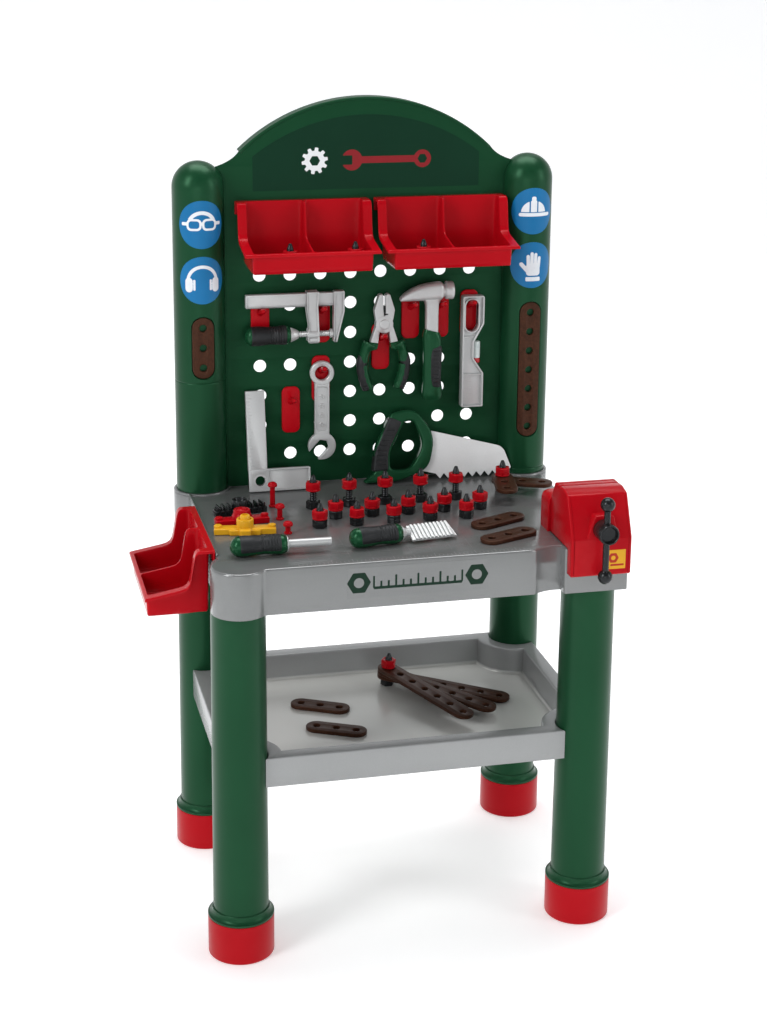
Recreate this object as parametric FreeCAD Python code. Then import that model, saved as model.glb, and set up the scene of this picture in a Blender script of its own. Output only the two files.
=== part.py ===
"""A child's toy workbench: a moulded bench on four round legs, with a peg board,
storage bins, a vise, and a set of hand tools, bolts and perforated strips.

The model is drawn about the middle of the four leg axes, +X to the right,
+Y to the back and +Z up, and is moved at the end so that the middle of its
outline stands on the origin.
"""
import FreeCAD, Part
import math
import os

V = FreeCAD.Vector

# ------------------------------------------------------------ sizes, in mm
gap = 0.3                # clearance between pieces that can be parted
wall = 3.0               # thickness of the moulded shells

# legs and feet
leg_spacing_x = 435.0
leg_spacing_y = 297.0
leg_radius_top = 32.8
leg_radius_bottom = 34.2
leg_wall = 3.0
spigot_radius = 28.0     # reduced end of a leg, held in the tabletop
foot_radius = 40.7
foot_cap_height = 50.0
foot_floor = 4.0         # base of the foot cap, under the leg
foot_ring_height = 12.0

# lower shelf
shelf_top = 260.0
shelf_apron = 38.0
shelf_front_margin = 17.7    # from the leg axes to the front and back faces
shelf_side_margin = 19.0
shelf_rim = 20.0
shelf_corner_bulge = 52.0    # radius of the tray wall around each leg

# tabletop
bench_height = 506.0
bench_apron = 57.0
apron_front_margin = 33.0
bench_side_margin = 22.0     # leg axes to the side walls
bench_back_margin = 17.5
corner_radius = 34.0         # bulge round the front left leg
corner_shift = 11.5          # how far that bulge stands in front of the leg
collar_radius = 37.0         # rear collars, which carry the posts
lip_height = 3.0
lip_width = 2.6
block_width = 81.0           # front right block, under the vise
block_front = 38.5
block_depth = 78.0

# posts and peg board
post_radius = 33.0
post_setback = 6.3           # post axes stand this far in front of the leg axes
post_step = 2.0
post_top = 937.5
board_setback = 10.1         # board face in front of the rear leg axes
board_depth = 3.0
board_edge = 190.0           # half width, with the edges held in the posts
board_shoulder = 933.0
arch_top = 1014.5
arch_radius = 239.3
arch_flange = 20.0
peg_pitch = 40.0
peg_hole_radius = 8.25
peg_columns = 8
peg_rows = 7
peg_first_row = 547.8

# perforated strips
strip_pitch = 26.0
strip_width = 28.0
strip_depth = 5.0
strip_hole_radius = 4.8
pocket_depth = 7.0
pocket_margin = 1.0
left_pocket_top = 742.5
right_pocket_top = 745.0

# storage bins
bin_width = 173.6
bin_body_width = 155.0
bin_depth = 82.0
bin_height = 81.0
bin_drop = 54.5              # back edge down to the front rim
bin_wall = 2.2
bin_back = 8.5               # hanging plane to the inside of the back wall
bin_top_board = 885.5
bin_top_side = 512.0
bin_spacing = 181.4
bin_shift = 5.6              # pair of bins, right of the middle
side_bin_y = -35.0
hook_drop = 17.0
rail_drop = 22.0

# red tool hooks
hook_width = 24.0
hook_height = 62.5
hook_plate = 4.0
hook_arm_radius = 3.6
hook_arm_length = 30.0
hook_arm_slope = 15.0        # degrees above the horizontal
hook_arm_drop = 8.5          # arm root below the upper hole

# bolts and nuts
bolt_head_radius = 8.6
bolt_head_height = 10.5
bolt_radius = 4.4
nut_radius = 9.2
nut_height = 11.5
bolt_tip = 7.5
long_shank = 13.0            # bare shank of the long bolts, under the nut
bolt_pitch = 47.0

# vise
vise_x = 213.5
vise_width = 76.0
vise_base_width = 81.0
vise_top = 575.0
vise_crease = 522.0
vise_bottom = 475.0
vise_front = -203.0
vise_split = -119.5
vise_back = -74.0
vise_jaw_height = 550.0
vise_axis_z = 534.6
screw_radius = 5.0
hub_radius = 12.5
hub_length = 26.0
bar_radius = 4.0
bar_ball_radius = 8.9
bar_span = 90.0
bar_offset = -10.2           # the bar's middle, below the screw axis

# -------------------------------------------------------- derived places
leg_x = leg_spacing_x / 2
leg_y = leg_spacing_y / 2
bench_under = bench_height - bench_apron
bench_deck = bench_height - wall
bench_half_x = leg_x + bench_side_margin
bench_front_y = -leg_y - apron_front_margin
bench_back_y = leg_y + bench_back_margin
post_y = leg_y - post_setback
board_y = leg_y - board_setback
shelf_under = shelf_top - shelf_apron
shelf_floor = shelf_under + wall
block_x1 = leg_x + collar_radius
block_x0 = block_x1 - block_width
block_y = -leg_y - block_front
hub_front = vise_front - gap - hub_length
hook_slope = math.radians(hook_arm_slope)

parts = {}


# ------------------------------------------------------------ basic shapes
def box(x0, x1, y0, y1, z0, z1):
    return Part.makeBox(x1 - x0, y1 - y0, z1 - z0, V(x0, y0, z0))


def rod(start, end, radius):
    axis = V(*end) - V(*start)
    return Part.makeCylinder(radius, axis.Length, V(*start), axis)


def taper(start, end, radius0, radius1):
    axis = V(*end) - V(*start)
    return Part.makeCone(radius0, radius1, axis.Length, V(*start), axis)


def ball(centre, radius):
    return Part.makeSphere(radius, V(*centre))


def join(shapes):
    first = shapes[0]
    return first.fuse(list(shapes[1:])).removeSplitter() if len(shapes) > 1 else first


def group(shapes):
    return Part.makeCompound(list(shapes))


def face(points, place):
    """A face from (u, v, corner radius) points; place maps (u, v) to a vector."""
    count = len(points)
    entries, exits, middles = [], [], []
    for i, (u, v, radius) in enumerate(points):
        corner = V(u, v, 0)
        back = V(points[i - 1][0], points[i - 1][1], 0) - corner
        ahead = V(points[(i + 1) % count][0], points[(i + 1) % count][1], 0) - corner
        half_turn = back.getAngle(ahead) / 2
        if radius <= 0 or abs(half_turn - math.pi / 2) < 1e-4:
            entries.append(corner)
            exits.append(corner)
            middles.append(None)
            continue
        reach = radius / math.tan(half_turn)
        back.normalize()
        ahead.normalize()
        entries.append(corner + back * reach)
        exits.append(corner + ahead * reach)
        inward = (back + ahead).normalize()
        middles.append(corner + inward * (radius / math.sin(half_turn) - radius))
    edges = []
    for i in range(count):
        if middles[i] is not None:
            ends = [place(p.x, p.y) for p in (entries[i], middles[i], exits[i])]
            edges.append(Part.Arc(*ends).toShape())
        start = exits[i]
        end = entries[(i + 1) % count]
        if (end - start).Length > 1e-5:
            edges.append(Part.LineSegment(place(start.x, start.y), place(end.x, end.y)).toShape())
    return Part.Face(Part.Wire(edges))


def prism_x(points, x0, x1):
    """Points are (y, z, corner radius)."""
    return face(points, lambda u, v: V(x0, u, v)).extrude(V(x1 - x0, 0, 0))


def prism_y(points, y0, y1):
    """Points are (x, z, corner radius)."""
    return face(points, lambda u, v: V(u, y0, v)).extrude(V(0, y1 - y0, 0))


def prism_z(points, z0, z1):
    """Points are (x, y, corner radius)."""
    return face(points, lambda u, v: V(u, v, z0)).extrude(V(0, 0, z1 - z0))


def rectangle(x0, x1, z0, z1, radius):
    return [(x0, z0, radius), (x1, z0, radius), (x1, z1, radius), (x0, z1, radius)]


def turned(points, x, y):
    """A turned piece about a vertical axis, from (radius, z) points."""
    outline = Part.makePolygon([V(r, 0, z) for r, z in points + points[:1]])
    solid = Part.Face(outline).revolve(V(0, 0, 0), V(0, 0, 1), 360)
    solid.translate(V(x, y, 0))
    return solid


def hexagon(x, y, z0, z1, radius):
    points = []
    for i in range(6):
        angle = math.radians(60 * i)
        points.append((x + radius * math.cos(angle), y + radius * math.sin(angle), 0))
    return prism_z(points, z0, z1)


def eased(shape, radius, chosen):
    """Round the edges for which chosen(edge) is true."""
    edges = [e for e in shape.Edges if chosen(e)]
    return shape.makeFillet(radius, edges) if edges else shape


def arm_top(row_z, depth):
    """Height of the top of a hook's arm, this far in front of the board."""
    return row_z - hook_arm_drop + depth * math.tan(hook_slope) + hook_arm_radius / math.cos(hook_slope)


def column_x(index):
    return (index - (peg_columns - 1) / 2) * peg_pitch


def row_z(index):
    return peg_first_row + index * peg_pitch


# ------------------------------------------------------------ legs and feet
def leg(x, y):
    tube = taper((x, y, foot_floor), (x, y, bench_under), leg_radius_bottom, leg_radius_top)
    spigot_top = bench_deck - gap
    spigot = rod((x, y, bench_under), (x, y, spigot_top), spigot_radius)
    lower_bore = rod((x, y, foot_floor), (x, y, bench_under - leg_wall), leg_radius_top - leg_wall)
    upper_bore = rod((x, y, bench_under - 2 * leg_wall), (x, y, spigot_top), spigot_radius - leg_wall)
    return tube.fuse(spigot).cut(lower_bore).cut(upper_bore)


def foot_cap(x, y):
    cup = rod((x, y, 0), (x, y, foot_cap_height), foot_radius)
    cup = eased(cup, 1.2, lambda e: e.BoundBox.ZMax < 0.1 and e.Length > 1)
    return cup.cut(rod((x, y, foot_floor), (x, y, foot_cap_height), leg_radius_bottom + gap))


def foot_ring(x, y):
    top = foot_cap_height + foot_ring_height
    inner = leg_radius_bottom + gap
    profile = [(inner, foot_cap_height), (foot_radius, foot_cap_height),
               (foot_radius, foot_cap_height + 3)]
    for step in range(1, 7):
        angle = math.radians(15 * step)
        radius = foot_radius - (foot_radius - inner - 1) * math.sin(angle)
        height = foot_cap_height + 3 + (foot_ring_height - 3) * (1 - math.cos(angle))
        profile.append((radius, height))
    profile.append((inner, top))
    return turned(profile, x, y)


def make_legs():
    corners = {"front_left": (-1, -1), "front_right": (1, -1), "rear_left": (-1, 1),
               "rear_right": (1, 1)}
    places = [(sx * leg_x, sy * leg_y) for sx, sy in corners.values()]
    for name, (x, y) in zip(corners, places):
        parts["leg_" + name] = leg(x, y)
    parts["foot_caps"] = group(foot_cap(x, y) for x, y in places)
    parts["foot_rings"] = group(foot_ring(x, y) for x, y in places)


# ------------------------------------------------------------ lower shelf
def make_shelf():
    half_x = leg_x + shelf_side_margin
    half_y = leg_y + shelf_front_margin
    outer = box(-half_x, half_x, -half_y, half_y, shelf_under, shelf_top)
    under = box(-half_x + wall, half_x - wall, -half_y + wall, half_y - wall, shelf_under,
                shelf_top - wall)
    tray_x = half_x - shelf_rim
    tray_y = half_y - shelf_rim
    tray = box(-tray_x, tray_x, -tray_y, tray_y, shelf_floor, shelf_top)
    basin = box(-tray_x - wall, tray_x + wall, -tray_y - wall, tray_y + wall, shelf_under, shelf_top)
    for sx in (-1, 1):
        for sy in (-1, 1):
            x, y = sx * leg_x, sy * leg_y
            tray = tray.cut(rod((x, y, shelf_under), (x, y, shelf_top), shelf_corner_bulge))
            inner = rod((x, y, shelf_under), (x, y, shelf_top), shelf_corner_bulge - wall)
            basin = basin.cut(inner)
    shell = outer.cut(under.cut(basin)).cut(tray)
    leg_holes, sleeves = [], []
    for sx in (-1, 1):
        for sy in (-1, 1):
            x, y = sx * leg_x, sy * leg_y
            leg_holes.append(rod((x, y, shelf_under), (x, y, shelf_top), leg_radius_bottom - 0.3))
            sleeves.append(rod((x, y, shelf_under), (x, y, shelf_top), leg_radius_bottom + wall))
    shell = shell.fuse([s.common(outer) for s in sleeves])
    parts["shelf_tray"] = shell.cut(leg_holes).removeSplitter()


# ------------------------------------------------------------ tabletop
def bench_plan(inset, z0, z1):
    """The outline of the tabletop in plan, moved in by inset, as a prism."""
    front = bench_front_y + inset
    main = box(-bench_half_x + inset, bench_half_x - inset, front, bench_back_y - inset, z0, z1)
    relief_radius = 51.0 + inset
    relief_y = bench_front_y - relief_radius + inset + 10.5
    main = main.cut(rod((block_x0 - 5, relief_y, z0), (block_x0 - 5, relief_y, z1), relief_radius))
    bulge_y = -leg_y - corner_shift
    pieces = [main, rod((-leg_x, bulge_y, z0), (-leg_x, bulge_y, z1), corner_radius - inset)]
    for side in (-1, 1):
        pieces.append(rod((side * leg_x, post_y, z0), (side * leg_x, post_y, z1),
                          collar_radius - inset))
    block = rectangle(block_x0 + inset, block_x1 - inset, block_y + inset,
                      block_y + block_depth - inset, 3)
    pieces.append(prism_z(block, z0, z1))
    return join(pieces)


def make_tabletop():
    solid = bench_plan(0, bench_under, bench_height)
    hollow = bench_plan(wall, bench_under, bench_deck)
    sockets = []
    for sx in (-1, 1):
        for sy in (-1, 1):
            x, y = sx * leg_x, sy * leg_y
            tube = rod((x, y, bench_under), (x, y, bench_deck), spigot_radius + gap + wall)
            sockets.append(tube)
    shell = solid.cut(hollow).fuse([s.common(solid) for s in sockets])
    holes = []
    for sx in (-1, 1):
        for sy in (-1, 1):
            x, y = sx * leg_x, sy * leg_y
            holes.append(rod((x, y, bench_under), (x, y, bench_deck), spigot_radius + gap))
    shell = shell.cut(holes)
    lip_x = -bench_half_x
    lip = box(lip_x, lip_x + lip_width, -leg_y + 22, post_y - collar_radius + 8, bench_height,
              bench_height + lip_height)
    steps = []
    for side in (-1, 1):
        steps.append(rod((side * leg_x, post_y, bench_height),
                         (side * leg_x, post_y, bench_height + post_step),
                         collar_radius))
    rail = bin_rail(bin_top_side, bin_width - 40)
    rail.rotate(V(0, 0, 0), V(0, 0, 1), -90)
    rail.translate(V(-bench_half_x, side_bin_y, 0))
    board_slot = box(-board_edge - gap, board_edge + gap, board_y - gap, board_y + board_depth + gap,
                     bench_height, bench_height + post_step)
    top = shell.fuse([lip, rail] + [s.cut(board_slot) for s in steps])
    parts["tabletop"] = top.removeSplitter()


# ------------------------------------------------------------ posts and board
def strip_length(holes):
    return (holes - 1) * strip_pitch + strip_width


def post(side, pocket_top, holes):
    x = side * leg_x
    base = bench_height + post_step
    dome_z = post_top - post_radius
    outer = rod((x, post_y, base), (x, post_y, dome_z),
                post_radius).fuse(ball((x, post_y, dome_z), post_radius))
    outer = outer.cut(box(x - 50, x + 50, post_y - 50, post_y + 50, base - 60, base))
    front = post_y - post_radius
    bore = rod((x, post_y, base), (x, post_y, dome_z), post_radius - wall)
    bore = bore.cut(box(x - 50, x + 50, front, front + pocket_depth + wall, base, post_top))
    half = strip_width / 2 + pocket_margin
    low = pocket_top - strip_length(holes) - 2 * pocket_margin
    pocket = prism_y(rectangle(x - half, x + half, low, pocket_top, half - 0.01), front - 1,
                     front + pocket_depth)
    inner_edge = side * (board_edge + gap)
    slot = box(min(0, inner_edge), max(0, inner_edge), board_y - gap, board_y + board_depth + gap,
               base, board_shoulder + gap)
    return outer.cut(bore).cut(pocket).cut(slot)


def bin_rail(top, length):
    """Rail across a wall that faces -Y at y = 0: a ledge and an upstanding edge."""
    half = length / 2
    return prism_x([(0, top - rail_drop, 0), (0, top - rail_drop + 3, 0),
                    (-3.2, top - rail_drop + 3, 0),
                    (-3.2, top - 4, 0), (-5.6, top - 4, 0), (-5.6, top - rail_drop, 0)], -half, half)


def make_board():
    arc_end = board_edge - 25
    arc_z = arch_top - arch_radius + math.sqrt(arch_radius ** 2 - arc_end ** 2)
    bottom = bench_height + gap
    corners = [V(-arc_end, 0, arc_z), V(0, 0, arch_top), V(arc_end, 0, arc_z)]
    right_sweep = Part.Arc(corners[2], V(arc_end + 11, 0, arc_z - 11.5),
                           V(board_edge, 0, board_shoulder))
    left_sweep = Part.Arc(V(-board_edge, 0, board_shoulder), V(-arc_end - 11, 0, arc_z - 11.5),
                          corners[0])
    edges = [
        Part.Arc(*corners).toShape(),
        right_sweep.toShape(),
        Part.LineSegment(V(board_edge, 0, board_shoulder), V(board_edge, 0, bottom)).toShape(),
        Part.LineSegment(V(board_edge, 0, bottom), V(-board_edge, 0, bottom)).toShape(),
        Part.LineSegment(V(-board_edge, 0, bottom), V(-board_edge, 0, board_shoulder)).toShape(),
        left_sweep.toShape(),
    ]
    sheet = Part.Face(Part.Wire(Part.__sortEdges__(edges))).extrude(V(0, board_depth, 0))
    centre_z = arch_top - arch_radius
    ring = rod((0, board_depth, centre_z), (0, arch_flange, centre_z), arch_radius)
    ring = ring.cut(rod((0, 0, centre_z), (0, arch_flange, centre_z), arch_radius - wall))
    ring = ring.common(box(-arc_end, arc_end, 0, arch_flange, arc_z, arch_top))
    board = sheet.fuse(ring)
    rails = []
    for side in (-1, 1):
        rail = bin_rail(bin_top_board, bin_width - 40)
        rail.translate(V(bin_shift + side * bin_spacing / 2, 0, 0))
        rails.append(rail)
    board = board.fuse(rails)
    holes = []
    for column in range(peg_columns):
        for row in range(peg_rows):
            x, z = column_x(column), row_z(row)
            holes.append(rod((x, -1, z), (x, board_depth + 1, z), peg_hole_radius))
    board = board.cut(holes)
    board.translate(V(0, board_y, 0))
    parts["back_board"] = board
    parts["post_left"] = post(-1, left_pocket_top, 3)
    parts["post_right"] = post(1, right_pocket_top, 7)


# ------------------------------------------------------------ storage bins
def bin_profile(shift, shrink):
    """Side view of a bin as (y, z) with y = 0 at the wall it hangs on and z = 0 at its top."""
    depth = bin_depth - shrink
    rim = -bin_drop
    return [(-bin_back + bin_wall - shrink, shift, 0), (-21, shift, 6 - shift * 0.5),
            (-30, -38 + shift, 9),
            (-38, -46 + shift, 6), (-depth, rim + shift, 0), (-depth + 1.5, -bin_height + shrink, 3),
            (-bin_back + bin_wall - shrink, -bin_height + shrink, 3)]


def storage_bin():
    half = bin_width / 2
    body_half = bin_body_width / 2
    outline = bin_profile(0, 0)
    body = prism_x(outline, -body_half, body_half)
    skin = prism_x(outline, -half, half).cut(prism_x(bin_profile(-bin_wall, 0), -half - 1, half + 1))
    back_plate = box(-half, half, -bin_back, -bin_back + bin_wall, -bin_drop, 0)
    rim = box(-half, half, -bin_depth - 2.5, -bin_depth + 4, -bin_drop - 3.0, -bin_drop - 0.1)
    shell = body.fuse([skin, back_plate, rim])
    room = []
    inner_half = body_half - bin_wall
    inner_back = -bin_back
    floor_z = -bin_height + bin_wall
    for x0, x1 in ((-inner_half, -bin_wall / 2), (bin_wall / 2, inner_half)):
        points = [(inner_back, 5, 0), (inner_back, floor_z, 4),
                  (-bin_depth + bin_wall + 1.5, floor_z, 4),
                  (-bin_depth + bin_wall, 5, 0)]
        room.append(prism_x(points, x0, x1))
    shell = shell.cut(room)
    flange = box(-half, half, -bin_back, -gap, -bin_wall, 0)
    hook = box(-half, half, -gap - 2.2, -gap, -hook_drop, -bin_wall)
    return shell.fuse([flange, hook]).removeSplitter()


def make_bins():
    for name, side in (("left", -1), ("right", 1)):
        shape = storage_bin()
        shape.translate(V(bin_shift + side * bin_spacing / 2, board_y, bin_top_board))
        parts["bin_" + name] = shape
    shape = storage_bin()
    shape.rotate(V(0, 0, 0), V(0, 0, 1), -90)
    shape.translate(V(-bench_half_x, side_bin_y, bin_top_side))
    parts["bin_side"] = shape


# ------------------------------------------------------------ tool hooks
hook_places = [(0, 5), (2, 5), (4, 4), (5, 5), (6, 5), (7, 5), (2, 3), (1, 2)]


def tool_hook(column, row):
    x, z = column_x(column), row_z(row)
    middle = z - peg_pitch / 2
    plate = prism_y(rectangle(x - hook_width / 2, x + hook_width / 2, middle - hook_height / 2,
                              middle + hook_height / 2, 8), board_y - hook_plate, board_y - 0.05)
    root = V(x, board_y - hook_plate / 2, z - hook_arm_drop)
    reach = V(0, -math.cos(hook_slope), math.sin(hook_slope)) * hook_arm_length
    root.z = root.z + hook_plate / 2 * math.tan(hook_slope)
    arm = Part.makeCylinder(hook_arm_radius, hook_arm_length, root, reach)
    tip = Part.makeSphere(hook_arm_radius, root + reach)
    studs = []
    for stud_z in (z, z - peg_pitch):
        studs.append(rod((x, board_y - 1, stud_z), (x, board_y + board_depth + 2, stud_z),
                         peg_hole_radius - gap))
    return join([plate, arm, tip] + studs)


def make_hooks():
    parts["tool_hooks"] = group(tool_hook(column, row) for column, row in hook_places)


# ------------------------------------------------------------ strips, bolts and nuts
def strip(holes):
    """A flat strip along +X from its first hole at the origin, resting on z = 0."""
    half = strip_width / 2
    length = (holes - 1) * strip_pitch
    plate = prism_z(rectangle(-half, length + half, -half, half, half - 0.01), 0, strip_depth)
    drills = [rod((i * strip_pitch, 0, 0), (i * strip_pitch, 0, strip_depth), strip_hole_radius)
              for i in range(holes)]
    return plate.cut(drills)


def placed(shape, x, y, z, turn=0.0):
    shape.rotate(V(0, 0, 0), V(0, 0, 1), turn)
    shape.translate(V(x, y, z))
    return shape


def bolt(shank):
    """A bolt on its head, with the bare shank, the nut's length and a tip above."""
    head = hexagon(0, 0, 0, bolt_head_height, bolt_head_radius)
    top = bolt_head_height + shank + nut_height + 1.5
    shaft = rod((0, 0, bolt_head_height), (0, 0, top), bolt_radius)
    tip = taper((0, 0, top), (0, 0, top + bolt_tip), bolt_radius, 1.6)
    return join([head, shaft, tip])


def nut(shank):
    low = bolt_head_height + shank + gap
    body = hexagon(0, 0, low, low + nut_height - gap, nut_radius)
    return body.cut(rod((0, 0, low), (0, 0, low + nut_height), bolt_radius + 0.05))


def bolt_rows():
    """(x, y, shank, turn) of each bolt that stands on the tabletop."""
    rows = ((-91.5, 30.0, long_shank), (-71.5, -14.0, 0.0), (-98.0, -45.0, 0.0))
    places = []
    for number, (first, y, shank) in enumerate(rows):
        for i in range(5):
            places.append((first + i * bolt_pitch, y, shank, 17 * i + 23 * number))
    return places


fan_pivot = (24.0, 96.0)
fan_turns = (-31.0, -48.0, -65.0)
fan_tilt = 3.45
bracket_pivot = (166.0, 52.0)
bracket_turns = (-100.0, -24.0)


def tilt_fan(shape):
    """Lean the fan so that its far end rests on the shelf, then place it."""
    heading = math.radians(fan_turns[1])
    axis = V(-math.sin(heading), math.cos(heading), 0)
    shape.rotate(V(0, 0, 0), axis, fan_tilt)
    rise = bolt_head_radius * math.sin(math.radians(fan_tilt))
    shape.translate(V(fan_pivot[0], fan_pivot[1], shelf_floor + rise + 0.1))
    return shape


def make_hardware():
    short, long_ones, bolts, nuts = [], [], [], []
    deck = bench_height
    for x, y, shank, turn in bolt_rows():
        bolts.append(placed(bolt(shank), x, y, deck, turn))
        nuts.append(placed(nut(shank), x, y, deck, turn + 11))

    stack = 3 * strip_depth
    for level, turn in enumerate(fan_turns):
        long_ones.append(tilt_fan(placed(strip(7), 0, 0, bolt_head_height + level * strip_depth, turn)))
    bolts.append(tilt_fan(bolt(stack)))
    nuts.append(tilt_fan(nut(stack)))

    stack = 2 * strip_depth
    for level, turn in enumerate(reversed(bracket_turns)):
        low = deck + bolt_head_height + level * strip_depth
        short.append(placed(strip(3), bracket_pivot[0], bracket_pivot[1], low, turn))
    bolts.append(placed(bolt(stack), bracket_pivot[0], bracket_pivot[1], deck))
    nuts.append(placed(nut(stack), bracket_pivot[0], bracket_pivot[1], deck, 15))

    short.append(placed(strip(3), 99.0, -85.5, deck, 25))
    short.append(placed(strip(3), 95.0, -141.0, deck, 22))
    short.append(placed(strip(3), -103.0, 52.0, shelf_floor, -28))
    short.append(placed(strip(3), -97.0, -22.0, shelf_floor, -27))

    for side, top, holes in ((-1, left_pocket_top, 3), (1, right_pocket_top, 7)):
        piece = strip(holes)
        piece.rotate(V(0, 0, 0), V(0, 1, 0), 90)
        piece.rotate(V(0, 0, 0), V(0, 0, 1), -90)
        depth_y = post_y - post_radius + pocket_depth
        piece.translate(V(side * leg_x, depth_y, top - pocket_margin - strip_width / 2))
        (short if holes == 3 else long_ones).append(piece)

    parts["strips_short"] = group(short)
    parts["strips_long"] = group(long_ones)
    parts["bolts"] = group(bolts)
    parts["nuts"] = group(nuts)

    pins = []
    for y, height in ((46.0, 33.0), (-6.0, 21.0), (-61.0, 16.0)):
        stem = rod((-141.0, y, deck), (-141.0, y, deck + height - 4), 3.4)
        cap = rod((-141.0, y, deck + height - 6), (-141.0, y, deck + height), 6.2)
        cap = eased(cap, 2.4, lambda e, top=deck + height: e.BoundBox.ZMin > top - 0.1)
        foot = rod((-141.0, y, deck), (-141.0, y, deck + 2.5), 5.0)
        pins.append(join([stem, cap, foot]))
    parts["pins"] = group(pins)


def make_bin_contents():
    """Two bolts with nuts lie in the left bin and one in the right, shank up."""
    floor_z = bin_top_board - bin_height + bin_wall
    y = board_y - 50
    left = bin_shift - bin_spacing / 2
    right = bin_shift + bin_spacing / 2
    places = {"bin_left": ((left - 24, 5), (left + 60, 40)), "bin_right": ((right - 32, 20),)}
    for name, spots in places.items():
        parts[name + "_bolts"] = group(placed(bolt(0), x, y, floor_z, turn) for x, turn in spots)
        parts[name + "_nuts"] = group(placed(nut(0), x, y, floor_z, turn + 9) for x, turn in spots)


# ------------------------------------------------------------ wing pieces
def wing_piece(x, y, z, span, turn):
    """A round boss with two flat wings that dip in the middle, and a rib across."""
    wing = prism_y([(-span, 0, 1), (-span * 0.45, 0, 5), (0, 5, 12), (span * 0.45, 0, 5), (span, 0, 1),
                    (span, 8, 2), (span * 0.45, 8, 6), (-span * 0.45, 8, 6), (-span, 8, 2)], -8, 8)
    boss = rod((0, 0, 5), (0, 0, 19), 10.5)
    boss = eased(boss, 2.0, lambda e: e.BoundBox.ZMin > 18.9)
    shape = join([wing, boss])
    return placed(shape, x, y, z, turn)


def make_wing_pieces():
    deck = bench_height
    parts["wing_piece_yellow"] = wing_piece(-192.0, -48.0, deck, 38.0, -8)
    parts["wing_piece_red"] = wing_piece(-190.0, -12.0, deck, 34.0, 4)
    parts["wing_piece_black"] = wing_piece(-186.0, 28.0, deck, 34.0, 10)


# ------------------------------------------------------------ vise
def make_vise():
    x0 = vise_x - vise_width / 2
    x1 = vise_x + vise_width / 2
    base_half = vise_base_width / 2
    deck = bench_height
    plan = [(vise_x - base_half, vise_split + gap, 0), (vise_x + base_half, vise_split + gap, 0),
            (vise_x + base_half, vise_back, 20), (vise_x - base_half, vise_back, 20)]
    jaw = prism_z(plan, deck, vise_jaw_height)
    slope = prism_x([(vise_back - 1, deck - 1, 0), (vise_back + 1, vise_jaw_height - 8, 8),
                     (vise_split, vise_jaw_height, 0), (vise_split - 1, deck - 1, 0)],
                    vise_x - base_half - 1, vise_x + base_half + 1)
    tongue_half = 20.0
    tongue_top = deck + 10.0
    tongue_end = block_y + wall
    tongue = box(vise_x - tongue_half, vise_x + tongue_half, tongue_end, vise_split + 1, deck,
                 tongue_top)
    bore = rod((vise_x, vise_split - 1, vise_axis_z), (vise_x, vise_back - 6, vise_axis_z),
               screw_radius + gap)
    parts["vise_base"] = jaw.common(slope).fuse(tongue).cut(bore).removeSplitter()

    back_y = vise_split - gap
    low = deck + gap
    skirt_y = block_y - gap
    outer = [(back_y, low, 0), (back_y, vise_jaw_height, 0), (back_y - 17, vise_top - 1, 3),
             (vise_front + 38, vise_top, 6), (vise_front + 22, vise_top - 4, 3),
             (vise_front, vise_crease, 3),
             (vise_front, vise_bottom, 3), (skirt_y, vise_bottom, 0), (skirt_y, low, 0)]
    inner = [(back_y - wall, low - 40, 0), (back_y - wall, vise_jaw_height - 2, 0),
             (back_y - 19, vise_top - 4, 0),
             (vise_front + 38, vise_top - 3, 0), (vise_front + 24, vise_top - 7, 0),
             (vise_front + wall, vise_crease - 1, 0), (vise_front + wall, vise_bottom + wall, 0),
             (block_y + 20, vise_bottom + wall, 0), (block_y + 20, low - 40, 0)]
    shell = prism_x(outer, x0, x1)
    boss = prism_y([(vise_x - 21, vise_crease - 4, 0), (vise_x + 23, vise_crease - 4, 0),
                    (vise_x + 14, vise_jaw_height, 3), (vise_x - 10, vise_jaw_height, 3)], vise_front,
                   vise_front + 22)
    shell = shell.fuse(boss).cut(prism_x(inner, x0 + wall, x1 - wall))
    slot = box(vise_x - tongue_half - gap, vise_x + tongue_half + gap, back_y - wall - 1, back_y + 1,
               low - 1, tongue_top + gap)
    screw_hole = rod((vise_x, vise_front - 1, vise_axis_z), (vise_x, back_y + 1, vise_axis_z),
                     screw_radius + gap)
    parts["vise_jaw"] = shell.cut(slot).cut(screw_hole).removeSplitter()

    hub = rod((vise_x, vise_front - gap, vise_axis_z), (vise_x, hub_front, vise_axis_z), hub_radius)
    hub = eased(hub, 1.5, lambda e: e.BoundBox.YMax < hub_front + 0.1)
    shaft = rod((vise_x, vise_front - 1, vise_axis_z), (vise_x, vise_back - 10, vise_axis_z),
                screw_radius)
    collar_y = vise_front + 17
    collar = rod((vise_x, collar_y, vise_axis_z), (vise_x, collar_y + 3, vise_axis_z), 8.0)
    bar_y = hub_front + 11.5
    passage = rod((vise_x, bar_y, vise_axis_z - hub_radius - 1),
                  (vise_x, bar_y, vise_axis_z + hub_radius + 1),
                  bar_radius + gap)
    parts["vise_screw"] = join([hub, shaft, collar]).cut(passage)

    middle = vise_axis_z + bar_offset
    low_end = (vise_x, bar_y, middle - bar_span / 2)
    high_end = (vise_x, bar_y, middle + bar_span / 2)
    parts["tommy_bar"] = join([rod(low_end, high_end, bar_radius), ball(low_end, bar_ball_radius),
                               ball(high_end, bar_ball_radius)])


# ------------------------------------------------------------ bar clamp
clamp_depth = 17.0           # axis in front of the board
clamp_left = -161.5
clamp_right = -32.7
clamp_bar_height = 17.5
clamp_bar_depth = 8.0
clamp_arm_x = (-82.4, -66.0)
clamp_screw_drop = 37.0      # from the bar's under side to the screw axis
clamp_handle_radius = 12.4


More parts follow.
